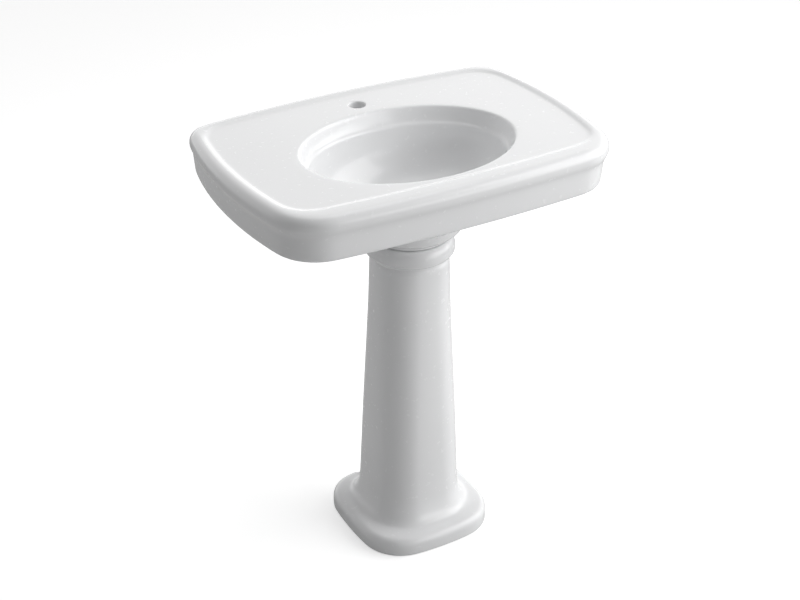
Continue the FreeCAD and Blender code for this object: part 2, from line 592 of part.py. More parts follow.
def make_basin():
    body = new_body("basin")
    rim = new_sketch(body, "rim_outline", offset=RIM_BOTTOM)
    add_bowed_outline(rim, BASIN_PLAN)
    pad(body, "rim", rim, D.rim_height)
    round_edges(body, "rim_roll", D.rim_top_radius, level_edge(D.rim_top))
    round_edges(body, "rim_underside", D.rim_under_radius, level_edge(RIM_BOTTOM))
    low = new_sketch(body, "apron_low", offset=D.apron_bottom)
    add_bowed_outline(low, APRON_PLAN, D.apron_inset_low)
    high = new_sketch(body, "apron_high", offset=RIM_BOTTOM + D.rim_under_radius)
    add_bowed_outline(high, APRON_PLAN, D.apron_inset_high)
    loft(body, "apron", [low, high], ruled=True)
    round_edges(body, "apron_foot", D.apron_edge, level_edge(D.apron_bottom))

    hollow = new_sketch(body, "underside_outline", offset=D.apron_bottom)
    add_bowed_outline(hollow, APRON_PLAN, D.apron_inset_low + D.apron_wall)
    cut(body, "underside", hollow, DECK_UNDERSIDE - D.apron_bottom, Reversed=True)

    outer = add_bowl_sections(
        body, "bowl_outside", DECK_UNDERSIDE + D.bite, D.floor_height - D.bowl_wall,
        D.bowl_half_length + D.bowl_shell_grow, D.bowl_half_breadth + D.bowl_shell_grow,
        D.floor_radius + D.bowl_wall + D.bowl_shell_round, 7,
    )
    loft(body, "bowl_shell", outer)

    neck = new_sketch(body, "neck_profile", "XZ_Plane", -D.neck_y)
    neck_bottom = D.seat_height + D.pad_thickness
    add_outline(neck, [
        (D.neck_bore, neck_bottom),
        (D.neck_radius, neck_bottom),
        ("arc", (D.neck_radius + D.neck_waist_grow, neck_bottom + D.neck_waist_rise)),
        (D.neck_flare, D.neck_flare_height),
        (D.neck_flare, D.neck_top),
        (D.neck_bore, D.neck_top),
    ])
    revolve(body, "neck", neck)

    boss = new_sketch(body, "drain_boss_outline", offset=D.boss_bottom)
    add_circle(boss, 0, D.bowl_y, D.boss_radius)
    pad(body, "drain_boss", boss, D.floor_height - D.boss_bottom)

    chamber = new_sketch(body, "overflow_chamber_outline", "YZ_Plane")
    add_outline(chamber, overflow_line(-D.overflow_wall) + [(D.bowl_y, D.overflow_top)])
    pad(body, "overflow_chamber", chamber, (D.overflow_half_width + D.overflow_wall) * 2, Midplane=True)

    hanger = new_sketch(body, "hanger_outline", offset=D.hanger_bottom)
    back = D.basin_half_depth
    add_outline(hanger, [
        (-D.hanger_half_width, back - D.hanger_depth),
        (D.hanger_half_width, back - D.hanger_depth),
        (D.hanger_half_width, back),
        (-D.hanger_half_width, back),
    ])
    pad(body, "hanger", hanger, RIM_BOTTOM + D.rim_under_radius - D.hanger_bottom)

    inner = add_bowl_sections(
        body, "bowl_inside", D.ledge_height, D.floor_height,
        D.bowl_half_length - D.ledge_drop_in - D.ledge_width,
        D.bowl_half_breadth - D.ledge_drop_in - D.ledge_width, D.floor_radius, 8,
    )
    loft(body, "bowl_hollow", inner, cutting=True)
    mouth = new_sketch(body, "bowl_mouth", offset=DECK_HEIGHT)
    add_ellipse(mouth, D.bowl_y, D.bowl_half_length, D.bowl_half_breadth)
    ledge = new_sketch(body, "bowl_ledge", offset=D.ledge_height)
    add_ellipse(
        ledge, D.bowl_y, D.bowl_half_length - D.ledge_drop_in, D.bowl_half_breadth - D.ledge_drop_in
    )
    loft(body, "bowl_upper_wall", [mouth, ledge], cutting=True, ruled=True)

    deck = new_sketch(body, "deck_outline", offset=D.rim_top)
    deck_plan = dict(BASIN_PLAN)
    deck_plan["half_width"] = D.basin_half_width - D.recess_side
    deck_plan["front"] = D.recess_front - D.basin_half_depth
    deck_plan["back"] = D.basin_half_depth - D.recess_side
    deck_plan["side_bow"] = D.side_bow - D.recess_side
    deck_plan["front_corner"] = D.recess_corner
    deck_plan["back_corner"] = D.recess_corner
    add_bowed_outline(deck, deck_plan)
    cut(body, "deck_recess", deck, D.deck_drop)
    round_edges(body, "recess_step", D.recess_edge, recess_edges)

    round_edges(body, "bowl_lip", D.bowl_lip, level_edge(DECK_HEIGHT, D.bowl_half_length * 2))

    drain = new_sketch(body, "drain_hole_outline", offset=D.floor_height)
    add_circle(drain, 0, D.bowl_y, D.drain_hole)
    cut(body, "drain_hole", drain, D.floor_height - D.boss_bottom + D.bite)
    seat = new_sketch(body, "flange_seat_outline", offset=D.floor_height)
    add_circle(seat, 0, D.bowl_y, D.flange_seat)
    cut(body, "flange_seat", seat, D.flange_seat_depth)

    channel = new_sketch(body, "overflow_channel_outline", "YZ_Plane")
    add_outline(channel, overflow_line(0) + overflow_line(D.overflow_gap)[::-1])
    cut(body, "overflow_channel", channel, D.overflow_half_width * 2, Midplane=True)
    slot = new_sketch(body, "overflow_slot_outline", "XZ_Plane", -(D.overflow_front + D.overflow_gap * 0.5))
    add_slot(slot, D.overflow_slot_height, D.overflow_slot_reach, D.overflow_slot_radius)
    cut(body, "overflow_slot", slot, D.overflow_slot_length)

    faucet = new_sketch(body, "faucet_hole_outline", offset=DECK_HEIGHT)
    add_circle(faucet, 0, D.faucet_y, D.faucet_hole)
    cut(body, "faucet_opening", faucet, D.deck_thickness + D.bite)

    round_edges(body, "faucet_lip", D.faucet_lip, level_edge(DECK_HEIGHT, D.faucet_hole * 2))

    bolts = new_sketch(body, "wall_holes_outline", "XZ_Plane", D.hanger_depth - D.basin_half_depth)
    for side in (-1, 1):
        add_circle(bolts, D.wall_hole_x * side, D.wall_hole_height, D.wall_hole)
    cut(body, "wall_holes", bolts, D.hanger_depth + D.bite)
    return body


def overflow_line(shift):
    """Side view of the overflow channel's lower line, moved in towards the bowl by shift."""
    return [
        (D.overflow_front + shift, D.overflow_top),
        (D.overflow_front + shift, D.overflow_turn + shift * 0.5),
        (D.overflow_bend + shift * 0.6, D.overflow_bend_height + shift),
        (D.overflow_inner + shift * 0.4, D.overflow_floor + shift),
        (D.bowl_y, D.overflow_floor + shift),
    ]


def add_slot(sketch, height, reach, radius):
    """A slot lying along X, centred on the Z axis of the sketch's plane."""
    add_outline(sketch, [
        (-reach, height - radius), (reach, height - radius),
        ("arc", (reach + radius, height)),
        (reach, height + radius), (-reach, height + radius),
        ("arc", (-reach - radius, height)),
    ])


# --- pedestal -----------------------------------------------------------------------------------

PLINTH_PLAN = bowed_plan(
    D.plinth_half_width, D.plinth_front, D.plinth_back, D.plinth_side_bow,
    D.plinth_end_bow, D.plinth_end_bow, D.plinth_front_corner, D.plinth_back_corner,
)
# The column widens from its top (0) to its foot (1): share of the height, share of the widening.
COLUMN_STATIONS = [(0.0, 0.0), (0.18, 0.10), (0.38, 0.32), (0.68, 0.68), (1.0, 1.0)]


def column_plan(share, grow=0):
    """Plan of the column part-way from its top (0) to its foot (1), grown outwards all round."""
    def blend(name):
        top = getattr(D, f"column_top_{name}")
        return top + (getattr(D, f"column_low_{name}") - top) * share
    bow = blend("bow") + grow
    return bowed_plan(
        blend("half_width") + grow, blend("front") - grow, blend("back") + grow, bow, bow, bow,
        blend("front_corner") + grow, blend("back_corner") + grow,
    )


def column_sections(body, prefix, inset):
    sketches = []
    for number, (drop, share) in enumerate(COLUMN_STATIONS):
        height = D.collar_root_height - (D.collar_root_height - D.column_bottom) * drop
        sketch = new_sketch(body, f"{prefix}_{number}", offset=height)
        add_bowed_outline(sketch, column_plan(share), inset)
        sketches.append(sketch)
    return sketches


def make_pedestal():
    body = new_body("pedestal")
    outline = new_sketch(body, "plinth_outline")
    add_bowed_outline(outline, PLINTH_PLAN)
    pad(body, "plinth", outline, D.plinth_height)
    round_edges(body, "plinth_top_edge", D.plinth_edge, level_edge(D.plinth_height))
    round_edges(body, "plinth_bottom_edge", D.plinth_foot_edge, level_edge(Length(0)))
    loft(body, "column", column_sections(body, "column_section", 0))

    steps = 4
    flare = []
    for step in range(steps + 1):
        angle = math.radians(90.0 * step / steps)
        grow = D.foot_flare * (1 - math.sin(angle))
        drop = D.column_bottom - D.plinth_height
        height = D.plinth_height + drop * (1 - math.cos(angle))
        if step == 0:
            height = height - D.bite
        sketch = new_sketch(body, f"flare_section_{step}", offset=height)
        add_bowed_outline(sketch, column_plan(1.0, grow))
        flare.append(sketch)
    loft(body, "flare", flare)

    root = D.collar_root_height - D.collar_root_sink
    cove = D.collar_root_height + D.collar_cove_rise
    collar = new_sketch(body, "collar_profile", "XZ_Plane", -D.neck_y)
    add_outline(collar, [
        (D.neck_bore, root),
        (D.column_top_half_width - D.collar_root_inset, root),
        ("arc", (D.column_top_half_width + D.collar_cove_grow, cove)),
        (D.collar_radius - D.collar_lip, D.collar_edge_height - D.collar_edge_drop),
        ("arc", (D.collar_radius, D.collar_edge_height + D.collar_bulge_rise)),
        (D.neck_radius, D.seat_height),
        (D.neck_bore, D.seat_height),
    ])
    revolve(body, "collar", collar)

    hollow = column_sections(body, "hollow_section", D.column_wall)
    loft(body, "column_hollow", hollow, cutting=True)
    shaft = new_sketch(body, "foot_shaft_outline", offset=D.column_bottom)
    add_bowed_outline(shaft, column_plan(1.0), D.column_wall)
    cut(body, "foot_shaft", shaft, D.column_bottom)
    cavity = new_sketch(body, "plinth_cavity_outline")
    add_bowed_outline(cavity, PLINTH_PLAN, D.plinth_wall)
    cut(body, "plinth_cavity", cavity, D.plinth_height - D.plinth_roof, Reversed=True)

    opening = new_sketch(body, "opening_outline", "XZ_Plane", 0)
    half = D.opening_half_width
    add_outline(opening, [
        (-half, D.opening_sill), (half, D.opening_sill), (half, D.opening_top),
        ("arc", (0, D.opening_top + half)), (-half, D.opening_top),
    ])
    cut(body, "back_opening", opening, D.plinth_back + D.bite)

    web = new_sketch(body, "floor_web_outline")
    add_outline(web, [
        (-D.floor_web_reach, D.floor_web_front), (D.floor_web_reach, D.floor_web_front),
        (D.floor_web_reach, D.floor_web_back), (-D.floor_web_reach, D.floor_web_back),
    ])
    pad(body, "floor_web", web, D.floor_web_height)
    bolts = new_sketch(body, "floor_holes_outline", offset=D.floor_web_height)
    for side in (-1, 1):
        add_circle(bolts, D.floor_hole_x * side, D.floor_hole_y, D.floor_hole)
    cut(body, "floor_holes", bolts, D.floor_web_height)
    return body


def make_seat_pads():
    pads = doc.addObject("Part::MultiFuse", "seat_pads")
    discs = []
    for number in range(3):
        angle = math.radians(90.0 + 120.0 * number)
        disc = doc.addObject("Part::Cylinder", f"seat_pad_{number}")
        disc.setExpression("Radius", D.pad_radius.text)
        disc.setExpression("Height", D.pad_thickness.text)
        x = D.pad_circle * round(math.cos(angle), 6)
        y = D.neck_y + D.pad_circle * round(math.sin(angle), 6)
        for axis, place in (("x", x), ("y", y), ("z", D.seat_height)):
            disc.setExpression(f"Placement.Base.{axis}", place.text)
        discs.append(disc)
    pads.Shapes = discs
    pads.Label = "seat_pads"
    return pads


# --- drain --------------------------------------------------------------------------------------

SEAT_TOP = D.floor_height - D.flange_seat_depth
FLANGE_BOTTOM = SEAT_TOP + D.gasket_thickness
FLANGE_TOP = FLANGE_BOTTOM + D.flange_thickness
CAP_BOTTOM = FLANGE_TOP + D.cap_lift
OVERFLOW_MIDDLE = D.overflow_floor + D.overflow_gap * 0.5


def make_drain_body():
    body = turned_body("drain_body", [
        (D.drain_bore, D.drain_tube_bottom),
        (D.drain_tube, D.drain_tube_bottom),
        (D.drain_tube, FLANGE_BOTTOM),
        (D.flange_radius - D.flange_edge, FLANGE_BOTTOM),
        (D.flange_radius, FLANGE_BOTTOM + D.flange_edge),
        ("arc", (D.flange_radius - D.flange_land * 0.35, FLANGE_TOP - D.flange_crown)),
        (D.flange_radius - D.flange_land, FLANGE_TOP),
        (D.drain_bore + D.throat_lip, FLANGE_TOP),
        ("arc", (D.drain_bore + D.throat_lip * 0.3, FLANGE_TOP - D.throat_lip * 0.3)),
        (D.drain_bore, FLANGE_TOP - D.throat_lip),
    ], y=D.bowl_y)
    windows = new_sketch(body, "overflow_windows_outline", "XZ_Plane")
    half = D.overflow_window_half_width
    low = OVERFLOW_MIDDLE - D.overflow_window_height * 0.5
    high = low + D.overflow_window_height
    add_outline(windows, [(-half, low), (half, low), (half, high), (-half, high)])
    cut_through(body, "overflow_windows", windows)
    return body


def ring(name, inner, outer, bottom, top, y=None):
    return turned_body(
        name, [(inner, bottom), (outer, bottom), (outer, top), (inner, top)],
        y=D.bowl_y if y is None else y,
    )


def make_stopper():
    turned_body("stopper_cap", [
        (0, CAP_BOTTOM),
        (D.seal_circle - D.seal_section, CAP_BOTTOM),
        ("arc", (D.seal_circle, CAP_BOTTOM + D.seal_section)),
        (D.seal_circle + D.seal_section, CAP_BOTTOM),
        (D.cap_radius - D.cap_chamfer, CAP_BOTTOM),
        (D.cap_radius, CAP_BOTTOM + D.cap_chamfer),
        (D.cap_radius, CAP_BOTTOM + D.cap_edge),
        ("arc", (D.cap_radius * 0.6, CAP_BOTTOM + D.cap_edge * 0.35 + D.cap_dome * 0.65)),
        (D.cap_flat, CAP_BOTTOM + D.cap_dome),
        (0, CAP_BOTTOM + D.cap_dome),
    ], y=D.bowl_y)
    seal = new_body("stopper_seal", y=D.bowl_y)
    section = new_sketch(seal, "stopper_seal_section", "XZ_Plane")
    add_circle(section, D.seal_circle, CAP_BOTTOM, D.seal_section)
    revolve(seal, "stopper_seal_ring", section)
    turned_body("stopper_stem", [
        (0, D.stem_bottom),
        (D.stem_radius, D.stem_bottom),
        (D.stem_radius, D.stem_collar_bottom),
        (D.stem_collar, D.stem_collar_bottom),
        (D.stem_collar, D.stem_collar_bottom + D.stem_collar_height),
        (D.stem_shoulder, D.stem_collar_bottom + D.stem_collar_height),
        (D.stem_shoulder, CAP_BOTTOM),
        (0, CAP_BOTTOM),
    ], y=D.bowl_y)
    retainer_top = D.guide_bottom - D.rest_gap
    add_hex_nut(
        "stopper_retainer", D.retainer_radius, D.stem_radius,
        retainer_top - D.retainer_height, D.retainer_height,
    )


def make_cartridge():
    """A bush that guides the stem, held in the drain tube by three arms and a ring."""
    body = turned_body("stopper_cartridge", [
        (D.stem_radius + D.stem_clearance, D.guide_bottom),
        (D.guide_radius, D.guide_bottom),
        (D.guide_radius, D.guide_top),
        (D.stem_radius + D.stem_clearance, D.guide_top),
    ], y=D.bowl_y)
    rim = new_sketch(body, "guide_ring_outline", offset=D.guide_bottom)
    outer = D.drain_bore - D.stem_clearance
    add_circle(rim, 0, 0, outer)
    add_circle(rim, 0, 0, outer - D.guide_ring_wall)
    arm = new_sketch(body, "guide_arm_outline", offset=D.guide_bottom)
    half = D.guide_arm * 0.5
    reach = outer - D.guide_ring_wall * 0.5
    root = D.guide_radius - D.guide_ring_wall
    add_outline(arm, [(-half, root), (half, root), (half, reach), (-half, reach)])
    arm_pad = pad(body, "guide_arm", arm, D.guide_ring_height)
    spider = body.newObject("PartDesign::PolarPattern", "guide_arms")
    spider.Originals = [arm_pad]
    spider.Axis = (arm, ["N_Axis"])
    spider.Occurrences = 3
    spider.Angle = 360.0
    body.Tip = spider
    pad(body, "guide_ring", rim, D.guide_ring_height)
    return body


def make_spring():
    """A round wire swept along a helix between the guide and the stem's collar."""
    coil = doc.addObject("Part::Helix", "stopper_spring_path")
    wire = doc.addObject("Part::Circle", "stopper_spring_wire")
    spring = doc.addObject("Part::Sweep", "stopper_spring")
    spring.Label = "stopper_spring"
    margin = D.spring_wire + D.rest_gap
    bottom = D.guide_top + margin
    coil.setExpression("Radius", D.spring_radius.text)
    coil.setExpression("Pitch", D.spring_pitch.text)
    coil.setExpression("Height", (D.stem_collar_bottom - margin - bottom).text)
    wire.setExpression("Radius", D.spring_wire.text)
    wire.setExpression("Placement.Base.x", D.spring_radius.text)
    wire.Placement.Rotation = FreeCAD.Rotation(FreeCAD.Vector(1, 0, 0), 90)
    spring.Sections = [wire]
    spring.Spine = (coil, [])
    spring.Solid = True
    spring.Frenet = True
    spring.setExpression("Placement.Base.y", D.bowl_y.text)
    spring.setExpression("Placement.Base.z", bottom.text)
    return spring


def add_hexagon(sketch, radius):
    """A regular hexagon round the sketch's origin; radius is its corners' distance."""
    points = []
    for corner in range(6):
        angle = math.radians(60.0 * corner)
        points.append((radius * round(math.cos(angle), 6), radius * round(math.sin(angle), 6)))
    add_outline(sketch, points)


def add_hex_nut(name, radius, bore, bottom, height, y=None):
    body = new_body(name, y=D.bowl_y if y is None else y)
    sketch = new_sketch(body, f"{name}_outline", offset=bottom)
    add_hexagon(sketch, radius)
    add_circle(sketch, 0, 0, bore)
    pad(body, f"{name}_pad", sketch, height)
    return body


def make_drain_fixings():
    bore = D.drain_tube + D.thread_gap
    flange_bottom = D.boss_bottom - D.cone_washer_height
    turned_body("tapered_gasket", [
        (bore, flange_bottom),
        (D.cone_washer_flange, flange_bottom),
        (D.cone_washer_flange, D.boss_bottom),
        (D.drain_hole - D.cone_washer_gap, D.boss_bottom),
        (bore + D.cone_washer_tip, D.boss_bottom + D.cone_washer_nose),
        (bore, D.boss_bottom + D.cone_washer_nose),
    ], y=D.bowl_y)
    washer_bottom = flange_bottom - D.slip_washer_height
    ring("friction_washer", bore, D.slip_washer_radius, washer_bottom, flange_bottom)
    add_hex_nut(
        "drain_locknut", D.locknut_radius, bore, washer_bottom - D.locknut_height, D.locknut_height
    )
    ring("flange_gasket", bore, D.flange_radius - D.flange_edge, SEAT_TOP, FLANGE_BOTTOM)


# --- trap ---------------------------------------------------------------------------------------

PIPE_BORE = D.pipe_radius - D.pipe_wall
OUTLET_Y = D.bowl_y + D.trap_turn * 2
BEND_BOTTOM = D.trap_centre - D.trap_turn - D.pipe_radius
BOSS_BOTTOM = BEND_BOTTOM - D.cleanout_boss_drop


def add_pipe(body, name, path, start, plane, radius, cutting=False):
    """Sweep a circle along a path; the circle lies on the named plane at the path's start."""
    profile = new_sketch(body, f"{name}_section", plane, start["offset"])
    add_circle(profile, 0, start["y"], radius)
    kind = "SubtractivePipe" if cutting else "AdditivePipe"
    feature = add_feature(body, kind, name, profile)
    feature.Spine = (path, [])
    return feature


def make_trap_bend():
    body = new_body("trap_bend")
    path = new_sketch(body, "trap_path", "YZ_Plane")
    add_path(path, [
        (D.bowl_y, D.trap_inlet), (D.bowl_y, D.trap_centre),
        ("arc", (D.bowl_y + D.trap_turn, D.trap_centre - D.trap_turn)),
        (OUTLET_Y, D.trap_centre), (OUTLET_Y, D.trap_outlet),
    ], closed=False)
    start = {"offset": D.trap_inlet, "y": D.bowl_y}
    add_pipe(body, "trap_tube", path, start, "XY_Plane", D.pipe_radius)
    for name, y, top in (("inlet", D.bowl_y, D.trap_inlet), ("outlet", OUTLET_Y, D.trap_outlet)):
        socket = new_sketch(body, f"{name}_socket_outline", offset=top - D.socket_length)
        add_circle(socket, 0, y, D.socket_radius)
        pad(body, f"{name}_socket", socket, D.socket_length)
    boss = new_sketch(body, "cleanout_boss_outline", offset=BOSS_BOTTOM)
    middle = D.bowl_y + D.trap_turn
    add_circle(boss, 0, middle, D.cleanout_boss)
    pad(body, "cleanout_boss", boss, D.cleanout_boss_drop + D.pipe_radius)
    add_pipe(body, "trap_bore", path, start, "XY_Plane", PIPE_BORE, cutting=True)
    bore = new_sketch(body, "inlet_bore_outline", offset=D.trap_inlet)
    add_circle(bore, 0, D.bowl_y, D.pipe_radius + D.socket_gap)
    cut(body, "inlet_bore", bore, D.socket_length - D.socket_floor)
    hole = new_sketch(body, "cleanout_hole_outline", offset=BOSS_BOTTOM)
    add_circle(hole, 0, middle, D.cleanout_bore)
    cut(body, "cleanout_hole", hole, D.cleanout_boss_drop + D.pipe_radius, Reversed=True)
    return body


def make_trap_arm():
    body = new_body("trap_arm")
    foot = D.trap_outlet + D.washer_height
    elbow = D.arm_height - D.arm_turn
    lean = 1 - math.sqrt(0.5)
    path = new_sketch(body, "arm_path", "YZ_Plane")
    add_path(path, [
        (OUTLET_Y, foot), (OUTLET_Y, elbow),
        ("arc", (OUTLET_Y + D.arm_turn * lean, D.arm_height - D.arm_turn * lean)),
        (OUTLET_Y + D.arm_turn, D.arm_height), (D.arm_end, D.arm_height),
    ], closed=False)
    start = {"offset": foot, "y": OUTLET_Y}
    add_pipe(body, "arm_tube", path, start, "XY_Plane", D.pipe_radius)
    flange = new_sketch(body, "arm_flange_outline", offset=foot)
    add_circle(flange, 0, OUTLET_Y, D.socket_radius - D.washer_inset)
    pad(body, "arm_flange", flange, D.nut_top)
    add_pipe(body, "arm_bore", path, start, "XY_Plane", PIPE_BORE, cutting=True)
    return body


def slip_nut(name, y, top):
    """A hexagonal cap nut over a threaded end: open below, with a round hole in its top."""
    body = new_body(name, y=y)
    sketch = new_sketch(body, f"{name}_outline", offset=top - D.nut_height)
    add_hexagon(sketch, D.nut_radius)
    pad(body, f"{name}_block", sketch, D.nut_height)
    thread = new_sketch(body, f"{name}_thread_outline", offset=top - D.nut_height)
    add_circle(thread, 0, 0, D.socket_radius + D.socket_gap)
    cut(body, f"{name}_thread", thread, D.nut_height - D.nut_top, Reversed=True)
    hole = new_sketch(body, f"{name}_hole_outline", offset=top)
    add_circle(hole, 0, 0, D.pipe_radius + D.socket_gap)
    cut(body, f"{name}_hole", hole, D.nut_top + D.bite)
    return body


def make_waste():
    ring("tailpiece", PIPE_BORE, D.pipe_radius, D.tailpiece_bottom, D.tailpiece_top)
    make_trap_bend()
    make_trap_arm()
    inner = D.pipe_radius + D.socket_gap
    outer = D.socket_radius - D.washer_inset
    inlet_washer_top = D.trap_inlet + D.washer_height
    ring("trap_inlet_washer", inner, outer, D.trap_inlet, inlet_washer_top)
    slip_nut("trap_inlet_nut", D.bowl_y, inlet_washer_top + D.nut_top)
    ring(
        "trap_union_washer", PIPE_BORE + D.washer_inset, outer, D.trap_outlet,
        D.trap_outlet + D.washer_height, y=OUTLET_Y,
    )
    slip_nut("trap_union_nut", OUTLET_Y, D.trap_outlet + D.washer_height + D.nut_top * 2)
    middle = D.bowl_y + D.trap_turn
    gasket_bottom = BOSS_BOTTOM - D.cleanout_gasket_height
    ring(
        "cleanout_gasket", D.cleanout_bore, D.cleanout_boss - D.washer_inset,
        gasket_bottom, BOSS_BOTTOM, y=middle
    )
    plug = new_body("cleanout_plug", y=middle)
    head = new_sketch(plug, "plug_head_outline", offset=gasket_bottom - D.cleanout_head_height)
    add_hexagon(head, D.cleanout_head)
    pad(plug, "plug_head", head, D.cleanout_head_height)
    shank = new_sketch(plug, "plug_shank_outline", offset=gasket_bottom)
    add_circle(shank, 0, 0, D.cleanout_bore - D.thread_gap)
    pad(plug, "plug_shank", shank, D.cleanout_shank)


make_basin()
make_pedestal()
make_seat_pads()
make_drain_body()
make_stopper()
make_cartridge()
make_spring()
make_drain_fixings()
make_waste()
doc.recompute()

# --- check and write ----------------------------------------------------------------------------

for item in doc.Objects:
    if "Invalid" in item.State or "Error" in item.State:
        raise RuntimeError(f"{item.Label} failed: {item.State}")
PIECES = [item for item in doc.Objects if item.isDerivedFrom("PartDesign::Body")]
PIECES += [item for item in doc.Objects if item.Label in ("seat_pads", "stopper_spring")]
os.makedirs("parts", exist_ok=True)
for piece in PIECES:
    if piece.Shape.isNull() or not piece.Shape.isValid():
        raise RuntimeError(f"{piece.Label} has no valid shape")
for piece in PIECES:
    piece.Shape.exportStep(f"parts/{piece.Label}.step")
    print(piece.Label, round(piece.Shape.Volume / 1000.0, 2), "cm3", len(piece.Shape.Solids), "solid(s)")
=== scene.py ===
import math

import bmesh
import bpy
from mathutils import Matrix, Vector


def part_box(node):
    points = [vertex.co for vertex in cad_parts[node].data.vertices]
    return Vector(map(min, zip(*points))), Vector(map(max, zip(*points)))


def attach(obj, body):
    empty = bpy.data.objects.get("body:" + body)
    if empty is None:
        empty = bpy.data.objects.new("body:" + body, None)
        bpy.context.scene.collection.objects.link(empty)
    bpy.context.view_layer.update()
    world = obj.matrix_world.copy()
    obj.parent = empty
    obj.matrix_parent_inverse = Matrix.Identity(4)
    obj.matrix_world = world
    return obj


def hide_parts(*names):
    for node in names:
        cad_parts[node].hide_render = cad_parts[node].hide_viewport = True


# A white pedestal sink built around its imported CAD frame. Sizes and places are in millimetres in
# the frame's own axes until a mesh is made: +Z up, +X right, -Y front, the wall at +Y.
MM = 0.001

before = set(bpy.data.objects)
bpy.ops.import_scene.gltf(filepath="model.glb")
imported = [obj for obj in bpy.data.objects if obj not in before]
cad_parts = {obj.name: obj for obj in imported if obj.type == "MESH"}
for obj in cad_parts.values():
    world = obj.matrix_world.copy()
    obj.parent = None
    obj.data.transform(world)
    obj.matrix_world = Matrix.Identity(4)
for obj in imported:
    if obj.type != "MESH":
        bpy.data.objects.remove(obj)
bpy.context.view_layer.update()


def box_mm(node):
    low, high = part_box(node)
    return low / MM, high / MM


BASIN_LOW, BASIN_HIGH = box_mm("basin")
PEDESTAL_LOW, PEDESTAL_HIGH = box_mm("pedestal")
DRAIN_LOW, DRAIN_HIGH = box_mm("drain_body")
BOWL_Y = (DRAIN_LOW.y + DRAIN_HIGH.y) / 2
RIM_TOP = BASIN_HIGH.z
DECK = RIM_TOP - 4.0
NECK_BOTTOM = BASIN_LOW.z
SEAT = PEDESTAL_HIGH.z
NECK_Y = -38.0


# --- outlines -----------------------------------------------------------------------------------

class Plan:
    """A rounded rectangle whose four sides bow outwards, seen from above.

    half_width, front and back say how far the sides reach. The bows and corners are arc radii."""

    def __init__(
        self, half_width, front, back, side_bow, front_bow, back_bow, front_corner, back_corner
    ):
        self.half_width = half_width
        self.front = front
        self.back = back
        self.side_bow = side_bow
        self.front_bow = front_bow
        self.back_bow = back_bow
        self.front_corner = front_corner
        self.back_corner = back_corner
        self.side_centre = Vector((half_width - side_bow, (front + back) / 2))
        self.front_end = self.corner(Vector((0.0, front + front_bow)), front_bow, front_corner)
        self.back_end = self.corner(Vector((0.0, back - back_bow)), back_bow, back_corner)

    def corner(self, end_centre, end_bow, radius):
        """An end's centre, bow and corner radius, with the middle of its right-hand corner arc."""
        side_reach = self.side_bow - radius
        end_reach = end_bow - radius
        apart = end_centre - self.side_centre
        distance = apart.length
        if distance < 0.001:
            return end_centre, end_bow, radius, None
        along = (side_reach ** 2 - end_reach ** 2 + distance ** 2) / (2 * distance)
        off = math.sqrt(max(side_reach ** 2 - along ** 2, 0.0))
        unit = apart / distance
        across = Vector((unit.y, -unit.x)) * off
        if across.x < 0:
            across = -across
        return end_centre, end_bow, radius, self.side_centre + unit * along + across

    def distance(self, x, y):
        """How far x, y lies outside the outline; negative inside."""
        point = Vector((abs(x), y))
        ahead = y < self.side_centre.y
        end_centre, end_bow, radius, middle = self.front_end if ahead else self.back_end
        if middle is not None:
            turn = 1 if ahead else -1
            offset = point - middle
            side_way = middle - self.side_centre
            end_way = middle - end_centre
            if turn * cross(end_way, offset) >= 0 and turn * cross(offset, side_way) >= 0:
                return offset.length - radius
        side = (point - self.side_centre).length - self.side_bow
        end = (point - end_centre).length - end_bow
        return max(side, end)

    def reach(self, centre, heading, inset):
        """The point where a ray from centre meets the outline moved inwards by inset."""
        ray = Vector((math.cos(heading), math.sin(heading)))
        near, far = 0.0, 900.0
        for _ in range(30):
            middle = (near + far) / 2
            if self.distance(*(centre + ray * middle)) < -inset:
                near = middle
            else:
                far = middle
        return centre + ray * near


def cross(first, second):
    """How far second turns from first; positive is anticlockwise."""
    return first.x * second.y - first.y * second.x


PLAN_SIZES = (
    "half_width", "front", "back", "side_bow", "front_bow", "back_bow", "front_corner", "back_corner"
)


def mixed(first, second, share):
    """A plan part-way between two plans."""
    sizes = []
    for name in PLAN_SIZES:
        start = getattr(first, name)
        sizes.append(start + (getattr(second, name) - start) * share)
    return Plan(*sizes)


def ellipse_reach(centre, half_length, half_breadth, origin, heading):
    """The point where a ray from origin meets an ellipse round centre."""
    ray = Vector((math.cos(heading) / half_length, math.sin(heading) / half_breadth))
    start = Vector(((origin.x - centre.x) / half_length, (origin.y - centre.y) / half_breadth))
    square = ray.dot(ray)
    half = start.dot(ray)
    travel = (-half + math.sqrt(half * half - square * (start.dot(start) - 1.0))) / square
    return origin + Vector((math.cos(heading), math.sin(heading))) * travel


# --- meshes -------------------------------------------------------------------------------------

def add_ring(mesh, points):
    """Vertices at x, y, z points in millimetres."""
    return [mesh.verts.new(Vector(point) * MM) for point in points]


def skin(mesh, first, second, closed=True):
    """Quads between two rows of vertices; where the rows share a vertex the quad is a triangle."""
    count = len(first) if closed else len(first) - 1
    for index in range(count):
        following = (index + 1) % len(first)
        corners = []
        for vertex in (first[index], first[following], second[following], second[index]):
            if vertex not in corners:
                corners.append(vertex)
        mesh.faces.new(corners)


def patch_boundary(rings, rows, columns):
    """Vertices round a block of a grid, in order: rows is (first, last), columns a list."""
    low, high = rows
    edge = [rings[low][column] for column in columns]
    edge += [rings[row][columns[-1]] for row in range(low + 1, high)]
    edge += [rings[high][column] for column in reversed(columns)]
    edge += [rings[row][columns[0]] for row in range(high - 1, low, -1)]
    return edge


